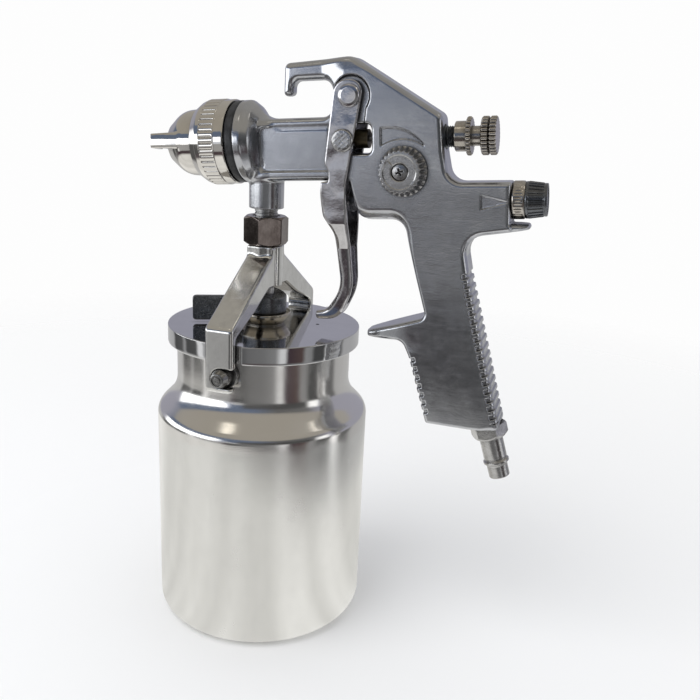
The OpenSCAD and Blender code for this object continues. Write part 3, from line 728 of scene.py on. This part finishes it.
RING_PROFILE = [
    (15.6, -32.2, 0.2), (16.5, -32.2, 0.4), (18.9, -28.6, 3), (19.7, -26.2, 0.4), (19.7, -19.0, 0.2),
    (19.35, -18.8, 0.2), (19.35, -14.6, 0.2), (19.0, -14.15, 0.2), (15.45, -14.15),
    (15.45, -22.6), (17.1, -22.6), (17.1, -28), (15.6, -28)]
piece("cap_ring_fluted", "air_cap_ring", NICKEL,
      [ringed(RING_PROFILE, 0.35, BARREL, 528, ring_flutes)], crease=50)

# ---------------- needle line


def thread(pitch, depth, z0, z1, least):
    """One screw ridge between z0 and z1, on what lies beyond the radius least."""
    def warp(r, z, t):
        wave = np.abs(((z / pitch - t / (2 * math.pi)) % 1.0) - 0.5) * 2
        on = (r > least) & (z > z0) & (z < z1)
        return r - np.where(on, depth * (1 - wave), 0), z
    return warp


def lobes(count, depth, z0, z1, least, power=0.5, fade=0.35):
    """Rounded lobes with sharp valleys round a knob, between z0 and z1."""
    def warp(r, z, t):
        on = step_up(z, z0, z0 + fade) * (1 - step_up(z, z1 - fade, z1)) * (r > least)
        wave = np.abs(np.sin(t * count / 2)) ** power
        return r - on * depth * (1 - wave), z
    return warp


piece("needle_sleeve_thread", "needle_sleeve", DARK, [ringed(
    [(4.05, 74), (5.1, 74), (5.1, 84.7), (4.65, 85), (4.65, 91.3), (4.4, 91.5), (4.05, 91.5)],
    0.12, BARREL, 72, thread(1.0, 0.5, 85.0, 91.2, 4.2))])

piece("lock_nut_knurled", "needle_lock_nut", KNURLED, [ringed(
    [(4.8, 88.7), (6.2, 88.7, 0.3), (6.5, 89, 0.2), (6.5, 93.8, 0.1), (7.9, 93.8, 0.3),
     (8.3, 94.2, 0.2), (8.3, 95.4, 0.2), (7.8, 95.9, 0.2), (4.4, 95.9), (4.4, 92), (4.8, 92)],
    0.3, BARREL, 260, lobes(26, 0.95, 93.6, 96.1, 6.8, fade=0.15))], crease=50)

piece("fluid_knob_knurled", "needle_knob", KNURLED, [spindle(
    [(0, 84), (3.95, 84), (3.95, 92), (4.25, 92), (4.25, 100.2, 0.1), (7.7, 100.2, 0.3),
     (8.25, 100.7, 0.3), (8.25, 103.1, 0.3), (7.0, 103.6, 0.15), (8.25, 104.1, 0.3),
     (8.25, 106.4, 0.3), (7.7, 106.8, 0.3), (0, 106.8)],
    0.3, BARREL, 260, lobes(26, 1.0, 100.1, 106.9, 5.2, fade=0.15))], crease=50)

# ---------------- trigger

WEB_X = 30.6
trigger_side = Outline(soft([
    (37.1, 25.3, 6.2), (31.0, -10.5, 4), (32.7, -13.5, 1), (32.7, -18.4, 1), (28.9, -18.4, 0.8),
    (27.8, -33.4, 5), (32.8, -42, 16), (35.0, -68, 30), (27.2, -78.6, 10), (21.2, -79.4, 1.5),
    (21.6, -83.4, 1.6), (33.2, -83.2, 16), (41.2, -68, 22), (40.4, -36, 20), (40.6, -20, 20),
    (50.6, 25.3, 6.2)], count=6), 0.3)
trigger_front = Outline(mirrored([
    (-10.4, 34), (-10.4, -37), (-8.9, -42), (-6.6, -49), (-5.4, -70), (-4.4, -90)]), 0.3)
channel_front = Outline(mirrored([
    (-8.6, 44), (-8.6, -37), (-7.0, -42), (-4.8, -49), (-3.6, -70), (-2.8, -76)]), 0.3)
channel_side = Outline(soft([
    (20, 44), (20, -17), (WEB_X, -17), (WEB_X, -35), (35.2, -43), (37.6, -68), (33, -77),
    (60, -77), (60, 44)], count=4), 0.3)


def trigger_field(x, y, z):
    lever = step_up(-z, 22, 40)
    front = trigger_front(y, z)
    # The lever's front is slightly crowned: it falls back towards its sides
    crown = np.clip(1.0 * lever * (y / 7.0) ** 2, 0, 1.2)
    side = trigger_side(x - crown * (1 - step_up(x, 36, 44)), z)
    f = smax(side, front, 0.5 + 1.5 * lever)
    f = smax(f, -smax(channel_side(x, z), channel_front(y, z), 1.2), 0.35)
    f = smax(f, -(np.hypot(x - PIVOT[0], z - PIVOT[1]) - 2.55), 0.2)
    return smax(f, -(np.hypot(x - PIN[0], z - PIN[1]) - 3.6), 0.2)


piece("trigger_plate", "trigger", CHROME,
      [carve(trigger_field, (19, -11.2, -85.2), (54, 11.2, 28), 0.38, GUN)], crease=60)

HEAD_PROFILE = [(0, -10.9), (2.5, -10.9), (2.5, 10.45), (4.85, 10.45, 0.15), (4.95, 11.2, 0.3),
                (4.5, 11.9, 0.3), (3.4, 12.15, 1.5), (0, 12.2)]
piece("pivot_screw_head", "trigger_pivot_screw", CHROME,
      [spindle(HEAD_PROFILE, 0.6, across(PIVOT, TO_FRONT), 96)])
piece("pivot_nut_disc", "trigger_pivot_nut", CHROME, [ringed(
    [(2.52, 10.45), (4.3, 10.45, 0.2), (4.3, 12.0, 0.4), (2.9, 12.3, 0.3), (2.52, 12.0)],
    0.5, across(PIVOT, TO_BACK), 96)])


def dents(r, z, t):
    """Shallow dents in a pin's head."""
    x, y = r * np.cos(t), r * np.sin(t)
    bump = 0.02 * np.sin(2.3 * x + 0.7) * np.sin(2.9 * y) + 0.01 * np.sin(4.1 * x + 0.4) * np.sin(3.7 * y)
    return r, z + np.where(z > 11.5, bump * (r < 4.0), 0)


PIN_PROFILE = [(0, 2.0), (3.55, 2.0), (3.55, 10.45), (4.95, 10.45, 0.2), (5.0, 11.3, 0.4),
               (4.5, 11.95, 0.5), (3.2, 12.05, 1.2), (0, 12.0)]
piece("trigger_pin_heads", "trigger_pin", ZINC, [
    spindle(PIN_PROFILE, 0.35, across(PIN, rows), 96, dents) for rows in (TO_FRONT, TO_BACK)])

# ---------------- knobs

fan_place = across(FAN, TO_FRONT)


def scallops(r, z, t):
    on = step_up(z, 9.2, 10.2) * step_up(r, 8.5, 9.0) * (1 - 0.45 * step_up(z, 12.5, 16))
    wave = 0.5 + 0.5 * np.cos(t * 26)
    return r - on * 1.25 * wave ** 0.7, z


FAN_PROFILE = [
    (0, 8.7), (10.2, 8.7, 0.3), (11.1, 9.4, 0.4), (10.9, 11.0, 0.4), (9.5, 15.6, 0.2),
    (9.2, 16.05, 0.2), (7.6, 16.1, 0.2), (7.1, 15.8, 0.2), (4.2, 15.8, 0.2), (3.75, 15.4, 0.2),
    (3.75, 14.0), (0, 14.0)]


def tick(r, z, t):
    """The scalloped knob with a short groove in its face."""
    r, z = scallops(r, z, t)
    u, v = swung(r * np.cos(t), r * np.sin(t), math.pi / 4)
    mark = np.clip(1 - np.abs(u) / 0.45, 0, 1) * ((v > 4.4) & (v < 7.0))
    return r, z - np.where(z > 15.6, 0.3 * mark, 0)


piece("fan_knob_scalloped", "fan_knob", ZINC,
      [spindle(FAN_PROFILE, 0.3, fan_place, 416, tick)], crease=48)


def screw_field(x, y, z):
    f = smax(np.hypot(x, y) - 3.55, z - 15.35 + 0.03 * (x * x + y * y), 0.4)
    f = np.maximum(f, 14.1 - z)
    u, v = np.abs(swung(x, y, math.radians(20)))
    wall = 0.30 * (15.3 - z)
    cross = np.minimum(np.maximum(u - 0.42, v - 1.75), np.maximum(v - 0.42, u - 1.75))
    return smax(f, -np.maximum(cross + wall, 14.35 - z), 0.12)


piece("fan_knob_screw_head", "fan_knob_screw", ZINC,
      [carve(screw_field, (-4, -4, 13.9), (4, 4, 15.9), 0.14, fan_place)], crease=40)

piece("regulator_collar_ring", "regulator_collar", KNURLED, [ringed(
    [(4.1, 110), (6.3, 110), (6.3, 114.05), (8.0, 114.05, 0.3), (8.3, 114.6, 0.2),
     (8.3, 118.8, 0.3), (7.9, 119.4, 0.2), (4.1, 119.4)],
    0.6, VALVE, 192, lobes(32, 0.22, 114.8, 118.6, 7.0, 0.6))], crease=50)


def knob_ribs(r, z, t):
    on = step_up(z, 120.6, 121.0) * (1 - step_up(z, 127.0, 127.3)) * (r > 5.8)
    wave = step_up(np.cos(t * 24), -0.2, 0.5)
    return r + on * (0.5 * wave - 0.3), z


piece("regulator_knob_ribbed", "regulator_knob", DARK, [spindle(
    [(0, 119.5), (7.9, 119.5, 0.2), (8.05, 120.0, 0.2), (7.05, 127.7, 0.1), (7.15, 127.9, 0.1),
     (7.05, 128.7, 0.15), (6.3, 128.8, 0.1), (5.9, 128.4, 0.1), (0, 128.4)],
    0.3, VALVE, 336, knob_ribs)], crease=45)

# ---------------- air inlet


def hexagon(apothem, first, low=-1e9, high=1e9, least=0.0):
    """Keeps the surface inside a hexagon whose corner lies at angle first."""
    def warp(r, z, t):
        off = (t - first) % (math.pi / 3) - math.pi / 6
        limit = apothem / np.cos(off)
        on = (z > low) & (z < high) & (r > least)
        return np.where(on, np.minimum(r, limit), r), z
    return warp


piece("inlet_nipple_tail", "inlet_nipple", ZINC, [ringed(
    [(3.1, 10), (5.1, 10), (5.1, -0.06), (8.3, -0.06, 0.1), (8.8, -0.5, 0.1), (8.8, -4.6, 0.1),
     (7.0, -6.4, 0.2), (5.5, -6.5, 0.4), (5.5, -16.6, 0.3), (5.15, -17.3, 0.3), (6.1, -18.1, 0.5),
     (6.1, -19.1, 0.5), (5.1, -20, 0.3), (4.9, -20.6, 0.3), (4.9, -26.1, 0.2), (4.6, -26.5, 0.2),
     (3.1, -26.5, 0.2)],
    0.4, GRIP, 180, hexagon(7.62, 0, -7, 1, 5.6))], crease=40)

# ---------------- feed line

piece("feed_stem_thread", "feed_stem", STEEL, [ringed(
    [(3.2, 191.6), (6.4, 191.6), (6.4, 203.4), (5.5, 203.6), (5.5, 205.2), (5.2, 205.4),
     (5.2, 205.8), (5.5, 206.0), (5.5, 214), (3.2, 214)], 0.4, CUP, 96)])

piece("coupling_nut_hex", "coupling_nut", NUT, [ringed(
    [(4.75, 190.4, 0.2), (9.3, 190.4, 0.2), (11.2, 191.8, 0.3), (11.2, 202.4, 0.3),
     (9.3, 203.8, 0.2), (6.6, 203.8, 0.2), (6.6, 191.5), (4.75, 191.5)],
    0.3, CUP, 240, hexagon(9.5, math.radians(34), least=7.5))], crease=35)

piece("tube_nut_bevelled", "tube_nut", PLATED, [ringed(
    [(4.42, 151.25), (9.6, 151.25), (9.6, 151.8, 0.1), (12.7, 156.2, 0.2),
     (12.7, 157.2, 0.25), (4.42, 157.2)], 0.6, CUP, 128)])

# ---------------- cam, yoke

CAM_R, CAM_LOW, CAM_RIDGE = 10.6, 157.3, 167.0
CAM_SLOPE = math.radians(12.6)
# Middle of the lever's plate, along the lever and in height
PLATE_U, PLATE_Z = -24.25, 158.55
LEVER_TURN, YOKE_TURN = math.radians(27), math.radians(-1.3)


def cam_field(x, y, z):
    f = rod(x, y, z, CAM_R, CAM_LOW, CAM_RIDGE, 0.35)
    side = np.abs(swung(x, y, YOKE_TURN)[0])
    roof = (z - CAM_RIDGE) * math.cos(CAM_SLOPE) + side * math.sin(CAM_SLOPE)
    f = smax(f, roof, 0.3)
    u, v = swung(x, y, LEVER_TURN)
    # Upright plate with clipped corners, joined to the collar by a short link
    pu, pz = np.abs(u - PLATE_U), np.abs(z - PLATE_Z)
    plate = np.maximum(pu - 10.85, pz - 6.05)
    clip = (pu + pz - 15.9) * math.sqrt(0.5)
    plate = smax(smax(plate, clip, 0.5), np.abs(v) - 1.4, 0.5)
    link = smax(smax(np.abs(u + 11) - 3.4, np.abs(z - 159.8) - 2.2, 0.3), np.abs(v) - 1.4, 0.4)
    f = smin(f, smin(plate, link, 1.0), 0.8)
    return smax(f, -(np.hypot(x, y) - 4.5), 0.3)


piece("cam_lever_plate", "cam_lever", DARK,
      [carve(cam_field, (-34, -19, 151.5), (12, 12, 168), 0.45, CUP)], crease=50)

LEG_Y, LEG_THICK, LEG_LOW, LEG_BEND, ARM_HALF = 50.3, 4.4, 129.3, 159.5, 6.8
LEG_IN = LEG_Y - LEG_THICK
YOKED = CUP.sub(rows=spun(YOKE_TURN, "z"))
YOKE_TOP = 190.0
yoke_half = [(7.7, YOKE_TOP, 0.6), (7.7, 185.2, 2.5), (LEG_Y, LEG_BEND, 3.5), (LEG_Y, LEG_LOW, 2.0),
             (LEG_IN, LEG_LOW, 1.2), (LEG_IN, 154.3, 3.0), (25.5, 162.3, 20), (10.6, 170.2, 1.5)]
yoke_side = Outline(soft(mirrored(yoke_half), count=6), 0.35)
STUD_Z, SLOT_HALF, STUD_ANGLE = 136.5, 4.45, math.radians(1)


def yoke_field(x, y, z):
    f = cast(yoke_side(y, z), x, ARM_HALF, 1.5, 1.5)
    collar = rod(x, y, z, 8.25, 170.2, YOKE_TOP, 0.5)
    f = smin(f, collar, 0.45)
    bar = smax(np.hypot(x, z - 169.28) - 2.2, np.abs(np.abs(y) - 8.65) - 1.55, 0.2)
    f = smin(f, bar, 0.3)
    f = smax(f, -(np.hypot(x, y) - 4.5), 0.3)
    # Slots for the studs: a round end, open the other way
    s = np.sign(y)
    sx = -x * s - (LEG_Y * math.sin(STUD_ANGLE))
    gap = np.where(sx < 0, np.hypot(sx, z - STUD_Z), np.abs(z - STUD_Z)) - SLOT_HALF
    gap = np.maximum(gap, 30 - np.abs(y))
    return smax(f, -gap, 0.7)


piece("yoke_casting_arms", "yoke", YOKE,
      [carve(yoke_field, (-9.5, -51.5, 128.4), (9.5, 51.5, 191.4), 0.45, YOKED)], crease=60)

# ---------------- lid and cup

LID_R, LID_Z, SKIRT_LOW = 47.0, 151.2, 142.7
# Ends of the lid's notches along X, and their depth's distance from the axis
NOTCH_FROM, NOTCH_TO, NOTCH_IN = -8.4, 8.7, 44.8


def rim_angle(x):
    """Where the rim's -Y side passes x."""
    return math.atan2(-math.sqrt(LID_R ** 2 - x * x), x)


def lid_thetas():
    """Even steps with close pairs of rays at both ends of each notch."""
    th = list(np.linspace(0, 2 * math.pi, 360, endpoint=False))
    for turned in (0, math.pi):
        for x in (NOTCH_FROM, NOTCH_TO):
            a = rim_angle(x) + turned
            th += [(a + e) % (2 * math.pi) for e in (-0.004, -0.001, 0.001, 0.004)]
    return np.array(sorted(th))


def lid_notches(r, z, t):
    for turned in (0, math.pi):
        x, y = np.cos(t - turned), np.sin(t - turned)
        a = np.arctan2(y, x)
        on = (a > rim_angle(NOTCH_FROM)) & (a < rim_angle(NOTCH_TO)) & (r > 43.5)
        r = np.where(on, np.minimum(r, NOTCH_IN / np.maximum(-y, 0.5)), r)
    return r, z


lid_profile = soft([
    (4.42, LID_Z), (46.2, LID_Z), (LID_R, LID_Z, 0.9), (LID_R, SKIRT_LOW, 0.6), (43.3, SKIRT_LOW, 0.3),
    (43.3, 147.9), (4.42, 147.9)], count=5)
lid = piece("lid_notched", "lid", LID,
            [turn(fine(lid_profile, 2.0, True), CUP, closed=True, thetas=lid_thetas(), warp=lid_notches)])


def drill(obj, centre, radius, low, high):
    """A small hole through a finished piece."""
    tool = turn([(0, low), (radius, low), (radius, high), (0, high)], CUP.sub((*centre, 0)), 32)
    cutter = added("drill", clean_mesh("drill", *tool))
    m = obj.modifiers.new("hole", "BOOLEAN")
    m.object, m.operation, m.solver = cutter, "DIFFERENCE", "EXACT"
    bpy.context.view_layer.update()
    done = bpy.data.meshes.new_from_object(obj.evaluated_get(bpy.context.evaluated_depsgraph_get()))
    obj.modifiers.clear()
    tools = (obj.data, cutter.data)
    obj.data = done
    bpy.data.objects.remove(cutter)
    for me in tools:
        bpy.data.meshes.remove(me)


drill(lid, (25.3, 7.1), 0.9, 140, 155)

CUP_R, NECK_R, WALL, SHOULDER_Z, MOUTH_Z = 52.5, 42.7, 1.4, 107.0, 146.0


def cup_profile(t):
    return [(0, t, 0), (CUP_R - t, t, 7.7 - t), (CUP_R - t, SHOULDER_Z + 2 - t / 2, 7 - t),
            (NECK_R - t, SHOULDER_Z + 12 - t / 2, 16 + t), (NECK_R - t, MOUTH_Z, 0)]


outer = soft(cup_profile(0), closed=False, count=12)
inner = soft(cup_profile(WALL), closed=False, count=12)
piece("cup_spun", "cup", CUP_METAL,
      [turn(fine(np.concatenate([outer, inner[::-1]]), 3.0), CUP, 256)], crease=50)

studs, washers = [], []
for turned in (0, math.pi):
    side = CUP.sub(rows=spun(turned + STUD_ANGLE + YOKE_TURN, "z")).sub((0, 0, STUD_Z), TO_FRONT)
    studs.append(spindle([
        (0, 40.2), (4.2, 40.2, 0.2), (4.2, 41.2, 0.3), (2.45, 41.3), (2.45, 45.0), (4.3, 45.2, 0.2),
        (4.3, 50.5, 0.5), (3.2, 53.4, 0.3), (2.6, 53.6, 0.15), (2.5, 53.1, 0.1), (1.6, 53.1, 0.1),
        (1.5, 53.5, 0.15), (0, 53.5)], 0.5, side, 96))
    washers.append(turn(soft([(2.52, 42.7), (5.9, 42.7), (6.0, 43.0, 0.2), (6.0, 44.9, 0.3),
                              (5.6, 45.15, 0.2), (2.52, 45.15)]), side, 96, closed=True))


def hug_neck(part):
    """Keeps a washer's back face just clear of the round neck."""
    v, f = part
    r = np.hypot(v[:, 0], v[:, 1])
    need = (NECK_R + 0.03) * MM
    near = r < need
    v[near, 1] = np.sign(v[near, 1]) * np.sqrt(need ** 2 - v[near, 0] ** 2)
    return v, f


piece("cup_studs_turned", "cup_studs", STUD, studs)
piece("stud_washers_turned", "stud_washers", STUD, [hug_neck(w) for w in washers])

# ---------------- CAD nodes that stay

KEPT = {"fluid_tip": STEEL, "air_baffle": STEEL, "fluid_needle": STEEL, "needle_collar": SHADED_BRASS,
        "needle_packing": PTFE, "packing_nut": SHADED_BRASS, "needle_spring": STEEL, "air_valve_stem": STEEL,
        "air_valve_gland": DARK, "air_valve_seal": PTFE, "air_valve_spring": STEEL,
        "fan_valve_stem": BRASS, "regulator_stem": BRASS, "inlet_seal": PTFE, "suction_tube": STEEL,
        "lid_gasket": PTFE}
for name, material in KEPT.items():
    slots = frame["nodes"][name].data.materials
    slots.clear()
    slots.append(material)

# The needle's and the air valve's springs each get a mesh of their own
for name, joint, line, front, back, travel in (
        ("needle_spring", "needle_slide", BARREL, 49.7, 83.4, 3.8),
        ("air_valve_spring", "air_valve_slide", VALVE, 65.1, 92.9, 8.9)):
    anchor = tuple(float(v) for v in line.out((0, 0, back)))
    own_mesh(frame["nodes"][name])

# ---------------- floor, light, camera


def floor():
    """Pale floor that fades out, with a soft streaked glow that only reflections see."""
    n = Surface("floor")
    size = 4.0
    me = bpy.data.meshes.new("floor")
    corners = [(-size, -size, 0), (size, -size, 0), (size, size, 0), (-size, size, 0)]
    me.from_pydata(corners, [], [(0, 1, 2, 3)])
    me.materials.append(n.mat)
    added("floor", me)
    clear = n.node("ShaderNodeBsdfTransparent").outputs[0]
    matt = n.node("ShaderNodeBsdfDiffuse", Color=(0.93, 0.93, 0.93, 1)).outputs[0]
    seen = n.blend(n.remap(n.vector("LENGTH", n.pos), 0.18, 0.75, 0, 1), matt, clear)
    streaks = n.node("ShaderNodeTexNoise", Vector=n.vector("NORMALIZE", n.pos), Scale=1.7, Detail=3.5)
    tone = n.mix(n.remap(streaks.outputs[0], 0.34, 0.66, 0, 1), (0.68, 0.675, 0.65), (0.98, 0.975, 0.95))
    glow = n.node("ShaderNodeEmission", Color=tone, Strength=1.0).outputs[0]
    away = n.vector("DISTANCE", n.pos, (-0.10, -0.03, 0))
    mirrored = n.blend(n.remap(away, 0.26, 0.34, 0, 1), glow, clear)
    glossy = n.node("ShaderNodeLightPath").outputs["Is Glossy Ray"]
    n.link(n.blend(glossy, seen, mirrored), n.t.nodes["Material Output"].inputs["Surface"])


# The room that metals reflect: (bearing in degrees, grey or colour) stops on belts, from the table up
HAZE, PLUM = (0.36, 0.36, 0.42), (0.06, 0.042, 0.05)
NAVY, WHITE = (0.13, 0.165, 0.24), (2.3, 2.35, 2.4)
WARM, TAN = (0.40, 0.385, 0.36), (0.36, 0.335, 0.29)
DOORWAY = [(40, 0.07), (78, 0.07), (84, 1.3), (94, 1.3), (98, HAZE), (180, HAZE)]
TABLE = [(-180, 0.62), (180, 0.62)]
DEEP = [(-180, 0.5), (-112, 0.5), (-104, 0.3), (-62, PLUM), (22, (0.10, 0.08, 0.08)), (60, 0.2),
        (110, 0.45), (180, 0.5)]
LOW = [(-180, 0.5), (-150, 0.55), (-112, 0.5), (-106, 0.09), (-90, 0.12), (-84, 0.4), (-80, 0.09),
       (-64, 0.10), (-60, 0.9), (-55, 0.9), (-52, 0.42), (-22, 0.36), (-18, PLUM), (-12, 0.08),
       (-6, 0.09), (4, 0.17), (22, 0.20), (36, 0.26), (42, 0.75), (47, 0.75), (51, PLUM),
       (68, (0.10, 0.07, 0.065)), (73, 0.30), (80, 0.26), (84, 0.07), (98, 0.07), (102, 1.4),
       (108, 1.4), (112, 0.12), (126, 0.14), (132, 0.45), (180, 0.5)]
PANE = [(-180, HAZE), (-104, HAZE), (-96, WHITE), (-32, WHITE), (-28, (0.9, 0.95, 1.05)),
        (-24, (0.54, 0.57, 0.62)), (-19, (0.54, 0.56, 0.61)), (-14, 0.68), (-5, 0.55), (-1, 0.16)] + DOORWAY
SILL = [(-180, HAZE), (-104, HAZE), (-96, WHITE), (-27, WHITE), (-22, (0.5, 0.55, 0.7)), (-18, NAVY),
        (-6, NAVY), (-1, 0.09)] + DOORWAY
HIGH = [(-180, HAZE), (-110, HAZE), (-95, NAVY), (10, NAVY), (40, 0.12), (80, 0.14), (100, HAZE),
        (180, HAZE)]
TOP = [(-180, WARM), (-60, TAN), (60, TAN), (180, WARM)]
# Heights between which each belt takes over from the one below, as the sine of the elevation
BELTS = ((-0.64, -0.60, DEEP), (-0.43, -0.37, LOW), (-0.12, -0.065, PANE), (-0.005, 0.02, SILL),
         (0.18, 0.22, HIGH), (0.40, 0.44, TOP))
ROOM_STRENGTH = 2.4
LAMP_STRENGTH = 8.0


def world():
    """White to the camera. Metals reflect a plain room with a bright window beside the viewer."""
    w = bpy.data.worlds.new("room")
    bpy.context.scene.world = w
    w.use_nodes = True
    w.node_tree.nodes.clear()
    n = Nodes(w.node_tree, "Generated")
    x, y, up = n.node("ShaderNodeSeparateXYZ", Vector=n.pos).outputs
    # Bearing from -Y towards +X, as a share of a full turn
    bearing = n.math("ARCTAN2", x, n.math("MULTIPLY", y, -1.0))
    share = n.math("ADD", n.math("DIVIDE", bearing, 2 * math.pi), 0.5)

    def belt(stops):
        r = n.node("ShaderNodeValToRGB", Fac=share)
        e = r.color_ramp.elements
        e.remove(e[1])
        e[0].position = 0
        for i, (degrees, c) in enumerate(stops):
            item = e[0] if i == 0 else e.new(min(degrees / 360 + 0.5, 1))
            c = c if isinstance(c, tuple) else (c, c, c)
            item.color = (*[v / ROOM_STRENGTH for v in c], 1)
        return r.outputs["Color"]

    room = belt(TABLE)
    for low, high, stops in BELTS:
        room = n.mix(n.smooth(up, low, high), room, belt(stops))
    lamps = 0.0
    for azimuth, height in ((-40, 60), (109, 51)):
        a, h = math.radians(azimuth), math.radians(height)
        towards = (math.sin(a) * math.cos(h), -math.cos(a) * math.cos(h), math.sin(h))
        aim = n.vector("DOT_PRODUCT", n.pos, towards)
        spot = n.smooth(aim, math.cos(math.radians(7)), math.cos(math.radians(3.5)))
        lamps = n.math("ADD", lamps, spot)
    strength = n.math("ADD", n.math("MULTIPLY", lamps, LAMP_STRENGTH), ROOM_STRENGTH)

    def light(color, power):
        return n.node("ShaderNodeBackground", Color=color, Strength=power).outputs[0]

    path = n.node("ShaderNodeLightPath").outputs
    shine = n.blend(path["Is Glossy Ray"], light((0.97, 0.98, 1.0, 1), 0.80), light(room, strength))
    seen = n.blend(path["Is Camera Ray"], shine, light((0.985, 0.985, 0.985, 1), 1.0))
    n.link(seen, n.node("ShaderNodeOutputWorld").inputs["Surface"])


floor()
world()

key = bpy.data.lights.new("soft_key", "AREA")
key.shape, key.size, key.energy = "DISK", 1.2, 9.0
key_ob = added("soft_key", key)
key_ob.location = (-0.5, -0.7, 1.3)
key_ob.rotation_euler = (Vector((0.05, 0, 0.12)) - key_ob.location).to_track_quat("-Z", "Y").to_euler()
key_ob.visible_glossy = False

yaw, pitch, roll = math.radians(-16.45), math.radians(16.49), math.radians(2.65)
look = Vector((math.sin(yaw) * math.cos(pitch), math.cos(yaw) * math.cos(pitch), -math.sin(pitch)))
level = Vector((math.cos(yaw), -math.sin(yaw), 0))
above = level.cross(look)
right = level * math.cos(roll) + above * math.sin(roll)
up = above * math.cos(roll) - level * math.sin(roll)
cam = bpy.data.cameras.new("camera")
cam.sensor_width = 36
cam.lens = 42.57
cam.clip_start = 0.01
cam_ob = added("camera", cam)
stand = Matrix((right, up, -look)).transposed().to_4x4()
stand.translation = Vector((0.15386, -0.36933, 0.25632))
cam_ob.matrix_world = stand
bpy.context.scene.camera = cam_ob
bpy.context.scene.view_settings.view_transform = "Standard"
